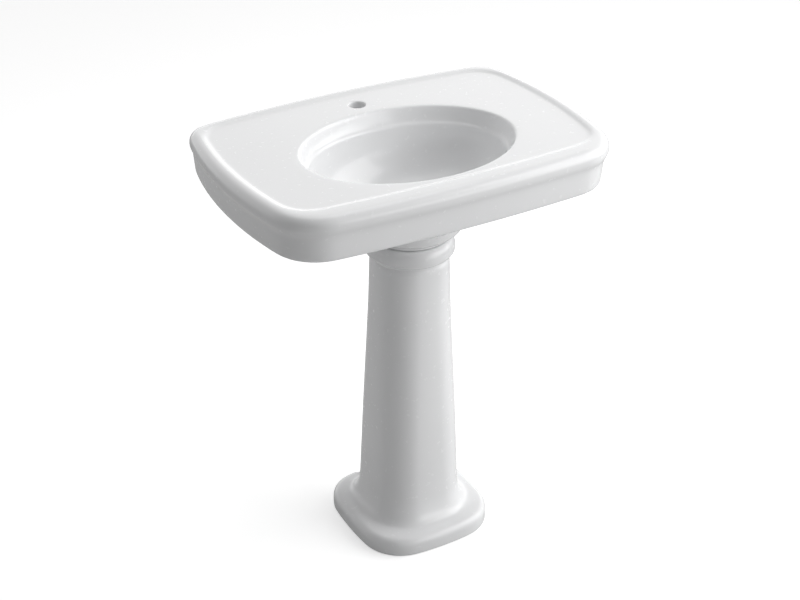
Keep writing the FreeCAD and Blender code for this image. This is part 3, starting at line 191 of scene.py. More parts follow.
def open_patch(mesh, rings, rows, columns):
    """Remove a block of faces and return the vertices round it."""
    edge = patch_boundary(rings, rows, columns)
    inside = []
    for row in range(rows[0], rows[1]):
        for here, after in zip(columns, columns[1:]):
            corners = {rings[row][here], rings[row][after], rings[row + 1][after], rings[row + 1][here]}
            inside += [face for face in rings[row][here].link_faces if set(face.verts) == corners]
    bmesh.ops.delete(mesh, geom=inside, context="FACES")
    loose = [vertex for vertex in mesh.verts if not vertex.link_faces]
    bmesh.ops.delete(mesh, geom=loose, context="VERTS")
    return edge


def make_piece(name, mesh, body, material, levels):
    """A named object from a bmesh, smooth, subdivided, with its material, riding on a body."""
    bmesh.ops.recalc_face_normals(mesh, faces=mesh.faces)
    data = bpy.data.meshes.new(name)
    mesh.to_mesh(data)
    mesh.free()
    for polygon in data.polygons:
        polygon.use_smooth = True
    piece = bpy.data.objects.new(name, data)
    bpy.context.scene.collection.objects.link(piece)
    data.materials.append(material)
    if levels:
        subdivision = piece.modifiers.new("Subdivision", "SUBSURF")
        subdivision.levels = levels
        subdivision.render_levels = levels
    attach(piece, body)
    return piece


# --- materials ----------------------------------------------------------------------------------

def new_material(name):
    material = bpy.data.materials.new(name)
    material.use_nodes = True
    nodes = material.node_tree.nodes
    shader = nodes["Principled BSDF"]
    return material, nodes, material.node_tree.links, shader


def noise(nodes, links, scale, detail=3.0):
    """A noise texture in the piece's own coordinates."""
    place = nodes.new("ShaderNodeTexCoord")
    texture = nodes.new("ShaderNodeTexNoise")
    texture.inputs["Scale"].default_value = scale
    texture.inputs["Detail"].default_value = detail
    links.new(place.outputs["Object"], texture.inputs["Vector"])
    return texture


def ranged(nodes, links, source, low, high):
    """Map a noise texture's middle range onto low to high."""
    ramp = nodes.new("ShaderNodeMapRange")
    ramp.inputs["From Min"].default_value = 0.3
    ramp.inputs["From Max"].default_value = 0.7
    ramp.inputs["To Min"].default_value = low
    ramp.inputs["To Max"].default_value = high
    links.new(source.outputs["Fac"], ramp.inputs["Value"])
    return ramp.outputs["Result"]


def add_bump(nodes, links, shader, sources, depth, strength):
    """Bump from one or more noise textures added together."""
    height = sources[0].outputs["Fac"]
    for source in sources[1:]:
        total = nodes.new("ShaderNodeMath")
        total.operation = "ADD"
        links.new(height, total.inputs[0])
        links.new(source.outputs["Fac"], total.inputs[1])
        height = total.outputs[0]
    bump = nodes.new("ShaderNodeBump")
    bump.inputs["Strength"].default_value = strength
    bump.inputs["Distance"].default_value = depth
    links.new(height, bump.inputs["Height"])
    links.new(bump.outputs["Normal"], shader.inputs["Normal"])


def tinted(nodes, links, shader, source, dark, light):
    """Base colour that drifts between two colours."""
    mix = nodes.new("ShaderNodeMix")
    mix.data_type = "RGBA"
    mix.inputs[6].default_value = (*dark, 1.0)
    mix.inputs[7].default_value = (*light, 1.0)
    links.new(source.outputs["Fac"], mix.inputs[0])
    links.new(mix.outputs[2], shader.inputs["Base Color"])


def make_china():
    """Glazed vitreous china: a glassy coat over a dense white body, with a faint waviness."""
    material, nodes, links, shader = new_material("glazed_china")
    cloud = noise(nodes, links, 6.0, 2.0)
    tinted(nodes, links, shader, cloud, (0.88, 0.885, 0.892), (0.91, 0.914, 0.92))
    speck = noise(nodes, links, 90.0)
    links.new(ranged(nodes, links, speck, 0.20, 0.28), shader.inputs["Roughness"])
    shader.inputs["IOR"].default_value = 1.52
    shader.inputs["Coat Weight"].default_value = 0.35
    shader.inputs["Coat Roughness"].default_value = 0.10
    shader.inputs["Coat IOR"].default_value = 1.5
    wave = noise(nodes, links, 11.0, 1.0)
    add_bump(nodes, links, shader, [wave], 0.0012, 0.10)
    return material


def make_metal(name, dark, light, roughness, scale, bump=0.02):
    material, nodes, links, shader = new_material(name)
    grain = noise(nodes, links, scale)
    tinted(nodes, links, shader, grain, dark, light)
    shader.inputs["Metallic"].default_value = 1.0
    links.new(ranged(nodes, links, grain, roughness * 0.7, roughness * 1.4), shader.inputs["Roughness"])
    fine = noise(nodes, links, scale * 6)
    add_bump(nodes, links, shader, [fine], 0.0004, bump)
    return material


def make_dull(name, dark, light, roughness, scale, bump=0.15):
    """Rubber or moulded plastic: matt, with a fine moulded grain."""
    material, nodes, links, shader = new_material(name)
    grain = noise(nodes, links, scale)
    tinted(nodes, links, shader, grain, dark, light)
    links.new(ranged(nodes, links, grain, roughness * 0.85, roughness * 1.1), shader.inputs["Roughness"])
    fine = noise(nodes, links, scale * 8)
    add_bump(nodes, links, shader, [fine], 0.0003, bump)
    return material


CHINA = make_china()
CHROME = make_metal("chrome", (0.74, 0.75, 0.76), (0.80, 0.81, 0.82), 0.07, 60.0)
BRASS = make_metal("brass", (0.62, 0.46, 0.20), (0.76, 0.60, 0.30), 0.24, 120.0, 0.08)
STEEL = make_metal("spring_steel", (0.50, 0.51, 0.52), (0.64, 0.65, 0.66), 0.28, 300.0, 0.08)
RUBBER = make_dull("black_rubber", (0.018, 0.018, 0.019), (0.035, 0.035, 0.036), 0.62, 180.0)
GREY_RUBBER = make_dull("grey_rubber", (0.28, 0.28, 0.29), (0.38, 0.38, 0.39), 0.60, 180.0)
BLACK_PLASTIC = make_dull("black_plastic", (0.035, 0.035, 0.038), (0.06, 0.06, 0.064), 0.42, 220.0)
WHITE_PLASTIC = make_dull("white_plastic", (0.72, 0.72, 0.70), (0.80, 0.80, 0.78), 0.38, 220.0)


# --- basin --------------------------------------------------------------------------------------

BASIN_PLAN = Plan(BASIN_HIGH.x, BASIN_LOW.y, BASIN_HIGH.y, 920.0, 3800.0, 2600.0, 106.0, 58.0)
APRON_PLAN = Plan(
    BASIN_HIGH.x, BASIN_LOW.y, BASIN_HIGH.y + 6.0, 920.0, 3800.0, 2600.0, 106.0, 38.0
)
DECK_PLAN = Plan(
    BASIN_HIGH.x - 28.0, BASIN_LOW.y + 46.0, BASIN_HIGH.y - 28.0, 892.0, 3800.0, 2600.0, 70.0, 70.0
)
BOWL_CENTRE = Vector((0.0, BOWL_Y))
NECK_CENTRE = Vector((0.0, NECK_Y))
BASIN_POINTS = 160
HALF_LENGTH = 225.0
HALF_BREADTH = 166.5
LEDGE = 856.0
FLOOR = 738.0
FLOOR_RADIUS = 45.0
DECK_UNDERSIDE = 872.0
FAUCET = Vector((0.0, 181.0))
FAUCET_ROW = 9.0
FAUCET_HOLE = 17.5
ROLL_RADIUS = 20.5
BOWL_INSET = 17.0
BOWL_WALL = 17.0
NECK_RADIUS = 82.0
SOCKET_RADIUS = 64.0
SLOT_REACH = 9.0
SLOT_RADIUS = 5.0
SLOT_DEPTH = 26.0
SLOT_COLUMNS = 3
FAUCET_COLUMNS = 3


def even_headings(plan, centre, count):
    """Headings from centre to points spaced evenly along the outline, the first at the front."""
    fine = 4000
    samples = [plan.reach(centre, -math.pi / 2 + 2 * math.pi * k / fine, 0.0) for k in range(fine + 1)]
    lengths = [0.0]
    for here, after in zip(samples, samples[1:]):
        lengths.append(lengths[-1] + (after - here).length)
    headings = []
    index = 0
    for k in range(count):
        wanted = lengths[-1] * k / count
        while lengths[index + 1] < wanted:
            index += 1
        share = (wanted - lengths[index]) / (lengths[index + 1] - lengths[index])
        headings.append(-math.pi / 2 + 2 * math.pi * (index + share) / fine)
    return headings


BASIN_HEADINGS = even_headings(BASIN_PLAN, BOWL_CENTRE, BASIN_POINTS)


def plan_ring(plan, inset, z):
    """An outline moved inwards by inset, at a height."""
    return [(*plan.reach(BOWL_CENTRE, heading, inset), z) for heading in BASIN_HEADINGS]


def ellipse_ring(half_length, half_breadth, z, centre=BOWL_CENTRE):
    """An ellipse with the same headings as the outlines, at a height."""
    return [
        (*ellipse_reach(centre, half_length, half_breadth, BOWL_CENTRE, heading), z)
        for heading in BASIN_HEADINGS
    ]


def between(first, second, share):
    """Points part-way between two rings."""
    return [Vector(a).lerp(Vector(b), share) for a, b in zip(first, second)]


def arc_steps(first, last, count):
    """Angles in radians from first to last degrees, both included."""
    return [math.radians(first + (last - first) * k / (count - 1)) for k in range(count)]


def rim_rings():
    """Up the outside: the apron's foot and wall, the soft cove under the roll, the rolled rim, and
    the step down to the deck."""
    rings = []
    for inset, z in ((27.5, 866.0), (27.5, 840.0), (27.5, 804.0), (26.0, 798.0), (23.0, 796.0)):
        rings.append(plan_ring(APRON_PLAN, inset, z))
    for inset, z in ((18.5, 796.0), (15.0, 797.4), (12.8, 800.8), (11.9, 806.0), (10.9, 818.0),
                     (9.8, 832.0), (9.0, 841.0)):
        rings.append(plan_ring(APRON_PLAN, inset, z))
    under = ((8.1, 847.0), (6.8, 851.5), (5.0, 855.6), (3.0, 859.4), (1.3, 863.4), (0.3, 867.6))
    for step, (inset, z) in enumerate(under):
        share = min((step + 1) / 3, 1.0)
        rings.append(plan_ring(mixed(APRON_PLAN, BASIN_PLAN, share), inset, z))
    for angle in arc_steps(8.0, 90.0, 7):
        inset = ROLL_RADIUS * (1 - math.cos(angle))
        height = RIM_TOP - ROLL_RADIUS * (1 - math.sin(angle))
        rings.append(plan_ring(BASIN_PLAN, inset, height))
    for inset, drop in ((-7.0, 0.0), (-3.0, 0.35), (0.5, 1.3), (4.0, 2.7), (8.0, 3.7), (13.0, 4.0)):
        rings.append(plan_ring(DECK_PLAN, inset, RIM_TOP - drop))
    return rings


def faucet_rows(outer, inner, z):
    """Rings across a flat between two rings, spaced so that they make a block round the faucet."""
    rings = []
    back = BASIN_POINTS // 2
    outer_y, inner_y = outer[back][1], inner[back][1]
    for step in range(FAUCET_COLUMNS, -FAUCET_COLUMNS - 1, -1):
        share = (outer_y - FAUCET.y - FAUCET_ROW * step) / (outer_y - inner_y)
        rings.append([(p[0], p[1], z) for p in between(outer, inner, share)])
    return rings


def bowl_rings():
    """Down the inside: the lip, the upper wall, the ledge, the bowl, the drain's seat and hole."""
    rings = []
    lip = ((4.6, 0.0), (2.4, 0.5), (0.5, 1.8), (-0.8, 4.2), (-1.9, 8.0), (-3.5, 14.0))
    ledge = ((-5.8, 21.5), (-8.4, 27.6), (-10.6, 30.6), (-13.0, 32.2), (-15.2, 34.0), (-17.0, 37.0))
    for grow, drop in lip + ledge:
        rings.append(ellipse_ring(HALF_LENGTH + grow, HALF_BREADTH + grow, DECK - drop))
    slot_rows = []
    for drop in (8.0, 13.5, 19.0, 24.5, 30.0):
        slot_rows.append(len(rings))
        rings.append(bowl_ring(math.degrees(math.asin(drop / (LEDGE - FLOOR)))))
    for angle in (21.0, 29.0, 38.0, 47.0, 56.0, 65.0, 73.0, 80.0, 86.0):
        rings.append(bowl_ring(angle))
    seat = FLOOR - 3.5
    for radius, z in (
        (45.0, FLOOR), (38.0, FLOOR), (34.8, FLOOR - 0.3), (33.7, FLOOR - 1.2), (33.5, seat + 0.8),
        (32.8, seat), (28.0, seat), (23.8, seat), (22.7, seat - 0.6), (22.5, seat - 2.5),
        (22.5, 715.0), (22.5, 699.0), (23.4, 697.2), (26.0, 697.0), (39.0, 697.0), (41.4, 697.5),
        (42.0, 699.5), (42.0, 714.0), (43.0, 721.0), (46.5, 724.6),
    ):
        rings.append(ellipse_ring(radius, radius, z))
    return rings, slot_rows


def bowl_ring(angle):
    """A ring of the bowl, from its ledge (0 degrees) down to its floor (90 degrees)."""
    out = math.cos(math.radians(angle))
    down = math.sin(math.radians(angle))
    half_length = FLOOR_RADIUS + (HALF_LENGTH - BOWL_INSET - FLOOR_RADIUS) * out
    half_breadth = FLOOR_RADIUS + (HALF_BREADTH - BOWL_INSET - FLOOR_RADIUS) * out
    return ellipse_ring(half_length, half_breadth, LEDGE - (LEDGE - FLOOR) * down)


def underside_rings():
    """Back up the outside of the bowl, from inside the neck to the deck's underside."""
    rings = []
    for radius, z in (
        (57.0, 726.0), (62.0, 725.0), (SOCKET_RADIUS, 721.5), (SOCKET_RADIUS, 708.0),
        (SOCKET_RADIUS, NECK_BOTTOM + 2.0), (SOCKET_RADIUS + 1.4, NECK_BOTTOM), (72.0, NECK_BOTTOM),
        (NECK_RADIUS - 1.6, NECK_BOTTOM), (NECK_RADIUS, NECK_BOTTOM + 1.4),
        (83.4, 695.8), (86.6, 699.6), (91.2, 702.8), (96.8, 705.8), (103.0, 710.0), (108.5, 716.0),
    ):
        rings.append(ellipse_ring(radius, radius, z, NECK_CENTRE))
    for z in (738.0, 756.0, 780.0, 805.0, 832.0, 856.0):
        down = (DECK_UNDERSIDE - z) / (DECK_UNDERSIDE - FLOOR + BOWL_WALL * 0.8)
        out = math.sqrt(1.0 - down * down)
        round_part = FLOOR_RADIUS + BOWL_WALL
        half_length = round_part + (HALF_LENGTH + 7.0 - round_part) * out
        half_breadth = round_part + (HALF_BREADTH + 7.0 - round_part) * out
        rings.append(ellipse_ring(half_length, half_breadth, z))
    rings.append(ellipse_ring(HALF_LENGTH + 8.0, HALF_BREADTH + 8.0, DECK_UNDERSIDE - 5.0))
    return rings


def round_point(angle, radius):
    """The point of a circle in a direction from its middle."""
    return Vector((math.cos(angle), math.sin(angle))) * radius


def open_faucet_hole(mesh, rings, deck_start, ceiling_start):
    """The round hole from the deck to its underside, with a softened edge."""
    back = BASIN_POINTS // 2
    columns = list(range(back - FAUCET_COLUMNS, back + FAUCET_COLUMNS + 1))
    rows = 2 * FAUCET_COLUMNS
    top = open_patch(mesh, rings, (deck_start, deck_start + rows), columns)
    low = open_patch(mesh, rings, (ceiling_start, ceiling_start + rows), columns)
    shape = ((20.6, DECK), (19.0, DECK - 0.4), (17.8, DECK - 1.6), (FAUCET_HOLE, DECK - 4.0),
             (FAUCET_HOLE, DECK_UNDERSIDE + 2.0), (18.4, DECK_UNDERSIDE))
    angles = []
    for vertex in top:
        offset = vertex.co.xy / MM - FAUCET
        angles.append(math.atan2(offset.y, offset.x))
    previous = top
    for radius, z in shape:
        ring = add_ring(mesh, [(*(FAUCET + round_point(angle, radius)), z) for angle in angles])
        skin(mesh, previous, ring)
        previous = ring
    ordered = [min(low, key=lambda v: (v.co.xy - vertex.co.xy).length) for vertex in top]
    skin(mesh, previous, ordered)


def open_overflow_slot(mesh, rings, first, last):
    """The overflow's lying slot in the front of the bowl, a blind recess."""
    columns = [
        (column + BASIN_POINTS) % BASIN_POINTS for column in range(-SLOT_COLUMNS, SLOT_COLUMNS + 1)
    ]
    middle = rings[(first + last) // 2][0].co / MM
    edge = open_patch(mesh, rings, (first, last), columns)
    previous = edge
    for grow, depth in ((1.6, -0.2), (0.4, 0.8), (0.0, 3.0), (0.0, SLOT_DEPTH)):
        points = []
        for vertex in edge:
            offset = vertex.co / MM - middle
            x, z = slot_point(math.atan2(offset.z, offset.x), SLOT_REACH, SLOT_RADIUS + grow)
            bend = (offset.y / max(abs(offset.x), 1.0)) * abs(x)
            points.append((x, middle.y + bend - depth, middle.z + z))
        ring = add_ring(mesh, points)
        skin(mesh, previous, ring)
        previous = ring
    mesh.faces.new(previous)


def make_basin():
    """The whole casting: rim, deck, bowl and underside as one closed skin."""
    mesh = bmesh.new()
    outline = rim_rings()
    bowl, slot_rows = bowl_rings()
    deck = faucet_rows(outline[-1], bowl[0], DECK)
    under = underside_rings()
    inner_edge = ellipse_ring(HALF_LENGTH + 12.0, HALF_BREADTH + 11.0, DECK_UNDERSIDE)
    outer_edge = plan_ring(BASIN_PLAN, 36.0, DECK_UNDERSIDE)
    ceiling = faucet_rows(outer_edge, inner_edge, DECK_UNDERSIDE)[::-1]
    chain = outline + deck + bowl + under + [inner_edge] + ceiling + [outer_edge]
    rings = [add_ring(mesh, points) for points in chain]
    for here, after in zip(rings, rings[1:] + rings[:1]):
        skin(mesh, here, after)

    deck_start = len(outline)
    bowl_start = deck_start + len(deck)
    ceiling_start = bowl_start + len(bowl) + len(under) + 1
    open_faucet_hole(mesh, rings, deck_start, ceiling_start)
    open_overflow_slot(mesh, rings, bowl_start + slot_rows[0], bowl_start + slot_rows[-1])
    add_hanger(mesh)
    add_overflow_rib(mesh)
    piece = make_piece("china_basin", mesh, "sink", CHINA, 2)
    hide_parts("basin")
    return piece


def slot_point(angle, reach, radius):
    """The point of a lying slot's outline in a direction from its middle."""
    x, z = math.cos(angle), math.sin(angle)
    near, far = 0.0, reach + radius
    for _ in range(24):
        travel = (near + far) / 2
        gap = math.hypot(max(abs(x * travel) - reach, 0.0), z * travel)
        if gap < radius:
            near = travel
        else:
            far = travel
    return x * near, z * near


HOLE_LAND = 1.32
HOLE_EASE = 1.5


def add_holed_block(mesh, to_frame, xs, ys, near, far, holes, hole_radius):
    """A slab between two depths, with a round hole through each named block of cells.

    xs and ys are the grid's lines, to_frame turns (across, up, depth) into the frame's axes, and
    holes gives the first column and the first row of each block, two cells wide and two high."""
    sides = {}
    for depth, name in ((near, "near"), (far, "far")):
        sides[name] = [
            [mesh.verts.new(Vector(to_frame(x, y, depth)) * MM) for x in xs] for y in ys
        ]
        grid = sides[name]
        for row in range(len(ys) - 1):
            for column in range(len(xs) - 1):
                mesh.faces.new((
                    grid[row][column], grid[row][column + 1],
                    grid[row + 1][column + 1], grid[row + 1][column],
                ))
    rim_near = patch_boundary(sides["near"], (0, len(ys) - 1), list(range(len(xs))))
    rim_far = patch_boundary(sides["far"], (0, len(ys) - 1), list(range(len(xs))))
    skin(mesh, rim_near, rim_far)
    for column, row in holes:
        columns = list(range(column, column + 3))
        middle_x = (xs[columns[0]] + xs[columns[-1]]) / 2
        middle_y = (ys[row] + ys[row + 2]) / 2
        near_edge = open_patch(mesh, sides["near"], (row, row + 2), columns)
        far_edge = open_patch(mesh, sides["far"], (row, row + 2), columns)
        corners = [(xs[c], ys[row]) for c in columns] + [(xs[columns[-1]], ys[row + 1])]
        corners += [(xs[c], ys[row + 2]) for c in reversed(columns)] + [(xs[columns[0]], ys[row + 1])]
        angles = [math.atan2(y - middle_y, x - middle_x) for x, y in corners]
        step = HOLE_LAND if far > near else -HOLE_LAND
        previous = near_edge
        for radius, depth in (
            (hole_radius + HOLE_EASE, near), (hole_radius, near + step),
            (hole_radius, far - step), (hole_radius + HOLE_EASE, far),
        ):
            ring = [
                mesh.verts.new(Vector(to_frame(
                    middle_x + math.cos(a) * radius, middle_y + math.sin(a) * radius, depth
                )) * MM) for a in angles
            ]
            skin(mesh, previous, ring)
            previous = ring
        skin(mesh, previous, far_edge)


def add_hanger(mesh):
    """The flat boss behind the basin, with its two bolt holes."""
    xs = [-165.0, -161.0, -130.0, -115.0, -101.5, -88.0, -60.0, 0.0,
          60.0, 88.0, 101.5, 115.0, 130.0, 161.0, 165.0]
    zs = [804.0, 807.5, 818.5, 832.0, 845.5, 860.0, 866.0, 869.5]
    back = BASIN_HIGH.y
    add_holed_block(
        mesh, lambda x, z, y: (x, y, z), xs, zs, back - 28.0, back, [(3, 2), (9, 2)], 7.0
    )


def add_overflow_rib(mesh):
    """The covered channel down the front of the bowl that leads the overflow to the drain."""
    outer = [(-215.0, 866.0), (-215.0, 832.0), (-214.5, 797.0), (-188.0, 767.5), (-161.0, 738.5),
             (-134.0, 723.5), (-107.0, 709.0), (-84.0, 708.5)]
    inner = [(-190.0, 866.0), (-190.0, 832.0), (-186.0, 806.0), (-164.0, 782.0), (-140.0, 757.0),
             (-118.0, 742.0), (-98.0, 730.0), (-84.0, 728.0)]
    half = 22.0
    rings = []
    for (outer_y, outer_z), (inner_y, inner_z) in zip(outer, inner):
        start = Vector((outer_y, outer_z))
        depth = Vector((inner_y, inner_z)) - start
        points = []
        for x, share in ((-half, 1.0), (-half, 0.35), (-half + 1.5, 0.10), (-half + 7.0, 0.0),
                         (half - 7.0, 0.0), (half - 1.5, 0.10), (half, 0.35), (half, 1.0)):
            y, z = start + depth * share
            points.append((x, y, z))
        rings.append(add_ring(mesh, points))
    for here, after in zip(rings, rings[1:]):
        skin(mesh, here, after)
    mesh.faces.new(rings[0])
    mesh.faces.new(rings[-1])


# --- pedestal -----------------------------------------------------------------------------------

PLINTH_PLAN = Plan(
    PEDESTAL_HIGH.x, PEDESTAL_LOW.y, PEDESTAL_HIGH.y, 760.0, 620.0, 620.0, 92.0, 75.0
)
COLUMN_TOP = Plan(78.0, -118.0, 40.0, 150.0, 150.0, 150.0, 66.0, 60.0)
COLUMN_LOW = Plan(96.0, -141.0, 50.0, 420.0, 420.0, 420.0, 70.0, 50.0)
COLUMN_HEIGHTS = (640.0, 100.0)
# The column widens from its top (0) to its foot (1): share of the height, share of the widening.
COLUMN_STATIONS = ((0.0, 0.0), (0.06, 0.03), (0.12, 0.06), (0.2, 0.12), (0.3, 0.23), (0.4, 0.345),
                   (0.5, 0.47), (0.6, 0.585), (0.7, 0.70), (0.8, 0.80), (0.9, 0.90), (1.0, 1.0))
PEDESTAL_WALL = 12.0
HOLLOW_FLOOR = 27.0
ARCH_ROW = 622.0
OPENING_HALF = 55.0
OPENING_COLUMNS = 8
SIDE_POINTS = 60
OPENING_SILL = 18.0
OPENING_HEAD = 560.0


def back_reach(plan, inset, x):
    """The back of an outline at x."""
    near, far = NECK_Y, 140.0
    for _ in range(26):
        middle = (near + far) / 2
        if plan.distance(x, middle) < -inset:
            near = middle
        else:
            far = middle
    return near


def upright_ring(plan, inset, z):
    """A ring whose back points stand on fixed lines beside and across the opening.

    The points run anticlockwise from the opening's right edge round the front to its left edge."""
    edge = Vector((OPENING_HALF, back_reach(plan, inset, OPENING_HALF)))
    back = []
    for step in range(-OPENING_COLUMNS // 2, OPENING_COLUMNS // 2 + 1):
        x = OPENING_HALF * 2 * step / OPENING_COLUMNS
        back.append((x, back_reach(plan, inset, x), z))
    start = math.atan2(edge.y - NECK_Y, edge.x)
    finish = -math.pi - start
    side = []
    for k in range(1, SIDE_POINTS):
        heading = start + (finish - start) * k / SIDE_POINTS
        side.append((*plan.reach(NECK_CENTRE, heading, inset), z))
    return back + side


def round_plan(radius):
    """A circle round the neck's axis, as a plan."""
    return Plan(radius, NECK_Y - radius, NECK_Y + radius, radius, radius, radius, radius, radius)


def column_at(z):
    """The column's plan at a height."""
    top, low = COLUMN_HEIGHTS
    drop = min(max((top - z) / (top - low), 0.0), 1.0)
    for (drop_a, share_a), (drop_b, share_b) in zip(COLUMN_STATIONS, COLUMN_STATIONS[1:]):
        if drop <= drop_b:
            share = share_a + (share_b - share_a) * (drop - drop_a) / (drop_b - drop_a)
            return mixed(COLUMN_TOP, COLUMN_LOW, share)
    return COLUMN_LOW


def pedestal_rows():
    """(plan, inset, height) of each ring: out and up from the foot, over the collar, and down
    the hollow inside. Outer and inner rows beside the opening share their heights."""
    rows = []
    for inset, z in ((14.0, 24.0), (14.0, 6.0), (12.6, 0.8), (10.5, 0.0), (4.0, 0.0), (1.2, 0.5),
                     (0.2, 2.6), (0.0, 8.0), (0.0, OPENING_SILL)):
        rows.append((PLINTH_PLAN, inset, z))
    for angle in arc_steps(6.0, 84.0, 6):
        rows.append((PLINTH_PLAN, 17.0 * (1 - math.cos(angle)), 23.0 + 17.0 * math.sin(angle)))
    for angle in arc_steps(8.0, 90.0, 7):
        grow = 30.0 * (1 - math.sin(angle))
        rows.append((COLUMN_LOW, -grow, 40.0 + 60.0 * (1 - math.cos(angle))))
    heights = [130.0, 170.0, 215.0, 260.0, 305.0, 350.0, 395.0, 440.0, 485.0, 525.0,
               OPENING_HEAD, 590.0, ARCH_ROW, 636.0]
    for z in heights:
        rows.append((column_at(z), 0.0, z))
    for radius, z in (
        (78.3, 641.5), (78.9, 645.5), (81.0, 649.6), (85.0, 652.6), (88.2, 653.8), (90.6, 656.0),
        (92.4, 660.5), (93.0, 666.0), (92.4, 672.0), (90.4, 678.6), (87.4, 684.0), (84.4, 687.6),
        (82.0, 689.4), (79.6, SEAT), (67.0, SEAT), (64.8, SEAT - 0.6), (SOCKET_RADIUS, SEAT - 2.5),
        (SOCKET_RADIUS, 666.0), (SOCKET_RADIUS, 650.0), (65.0, 643.0),
    ):
        rows.append((round_plan(radius), 0.0, min(z, SEAT)))
    for z in reversed(heights):
        rows.append((column_at(z), PEDESTAL_WALL, z))
    for z in (100.0, 84.0, 66.0, 48.0, 34.0):
        rows.append((COLUMN_LOW, PEDESTAL_WALL, z))
    rows.append((COLUMN_LOW, 11.0, 28.5))
    rows.append((COLUMN_LOW, 8.0, HOLLOW_FLOOR))
    for inset in (24.0, 16.0):
        rows.append((PLINTH_PLAN, inset, HOLLOW_FLOOR))
    return rows


def make_pedestal():
    """The whole casting: foot, column, collar and the hollow inside as one closed skin."""
    mesh = bmesh.new()
    rows = pedestal_rows()
    rings = [add_ring(mesh, upright_ring(*row)) for row in rows]
    for here, after in zip(rings, rings[1:] + rings[:1]):
        skin(mesh, here, after)
    open_back(mesh, rows, rings)
    add_floor_web(mesh)
    piece = make_piece("china_pedestal", mesh, "sink", CHINA, 2)
    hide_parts("pedestal")
    return piece


def add_floor_web(mesh):
    """The bar across the foot's hollow, with its two floor-bolt holes."""
    xs = [-137.0, -132.0, -80.0, -52.0, -38.0, -24.0, 0.0, 24.0, 38.0, 52.0, 80.0, 132.0, 137.0]
    ys = [3.0, 7.0, 24.0, 34.0, 44.0, 45.6]
    add_holed_block(mesh, lambda x, y, z: (x, y, z), xs, ys, 13.5, 0.6, [(3, 2), (7, 2)], 5.5)


def open_back(mesh, rows, rings):
    """Cut the opening with its round head through both walls and close its edge."""
    columns = list(range(OPENING_COLUMNS + 1))
    outer_sill = [n for n, (_, _, z) in enumerate(rows) if z == OPENING_SILL][0]
    inner_sill = [n for n, (_, _, z) in enumerate(rows) if z == HOLLOW_FLOOR][0]
    heads = [n for n, (_, _, z) in enumerate(rows) if z == ARCH_ROW]
    open_patch(mesh, rings, (outer_sill, heads[0]), columns)
    open_patch(mesh, rings, (heads[1], inner_sill), columns)
    outer_loop = arched_loop(mesh, rings, outer_sill, heads[0], 0.0)
    inner_loop = arched_loop(mesh, rings, inner_sill, heads[1], PEDESTAL_WALL)
    join_loops(mesh, outer_loop, inner_loop)


def arched_loop(mesh, rings, sill, head, inset):
    """The opening's edge on one wall: up one side, over the round head, down the other side."""
    step = 1 if head > sill else -1
    spring = head - 2 * step
    left = [rings[row][0] for row in range(sill, spring + step, step)]
    right = [rings[row][OPENING_COLUMNS] for row in range(sill, spring + step, step)]
    over = [rings[row][0] for row in range(spring, head, step)]
    over += [rings[head][column] for column in range(OPENING_COLUMNS + 1)]
    over += [rings[row][OPENING_COLUMNS] for row in range(head - step, spring - step, -step)]
    arch = [over[0]]
    count = len(over) - 1
    for k in range(1, count):
        angle = math.pi * (1 - k / count)
        x = OPENING_HALF * math.cos(angle)
        z = OPENING_HEAD + OPENING_HALF * math.sin(angle)
        arch += add_ring(mesh, [(x, back_reach(column_at(z), inset, x), z)])
    arch.append(over[-1])
    skin(mesh, over, arch, closed=False)
    return left[:-1] + arch + right[:-1][::-1]


def join_loops(mesh, first, second):
    """Quads and triangles between two open loops of different counts."""
    a, b = 0, 0
    while a < len(first) - 1 or b < len(second) - 1:
        ahead_a = (a + 1) / (len(first) - 1) if a < len(first) - 1 else 9.0
        ahead_b = (b + 1) / (len(second) - 1) if b < len(second) - 1 else 9.0
        if abs(ahead_a - ahead_b) < 1e-6:
            mesh.faces.new((first[a], first[a + 1], second[b + 1], second[b]))
            a += 1
            b += 1
        elif ahead_a < ahead_b:
            mesh.faces.new((first[a], first[a + 1], second[b]))
            a += 1
        else:
            mesh.faces.new((first[a], second[b + 1], second[b]))
            b += 1


make_basin()
make_pedestal()

# --- fittings -----------------------------------------------------------------------------------

FINISHES = {
    "seat_pads": GREY_RUBBER, "drain_body": CHROME, "flange_gasket": RUBBER, "stopper_cap": CHROME,
    "stopper_seal": RUBBER, "stopper_stem": BRASS, "stopper_retainer": BRASS, "stopper_spring": STEEL,
    "stopper_cartridge": BLACK_PLASTIC, "tapered_gasket": RUBBER, "friction_washer": WHITE_PLASTIC,
    "drain_locknut": BRASS, "tailpiece": CHROME, "trap_inlet_nut": CHROME,
    "trap_inlet_washer": WHITE_PLASTIC, "trap_bend": CHROME, "cleanout_plug": CHROME,
    "cleanout_gasket": RUBBER, "trap_union_nut": CHROME, "trap_union_washer": RUBBER,
    "trap_arm": CHROME,
}
for node, finish in FINISHES.items():
    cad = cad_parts[node]
    cad.data.materials.clear()
    cad.data.materials.append(finish)


# --- floor, light and camera --------------------------------------------------------------------

FLOOR_GLOW = 0.48
FLOOR_BOUNCE = 0.58
CAMERA_PLACE = (-1.44413, -2.50602, 2.19491)
CAMERA_ANGLES = (-29.952, 30.159, 0.244)
CAMERA_LENS = 72.0


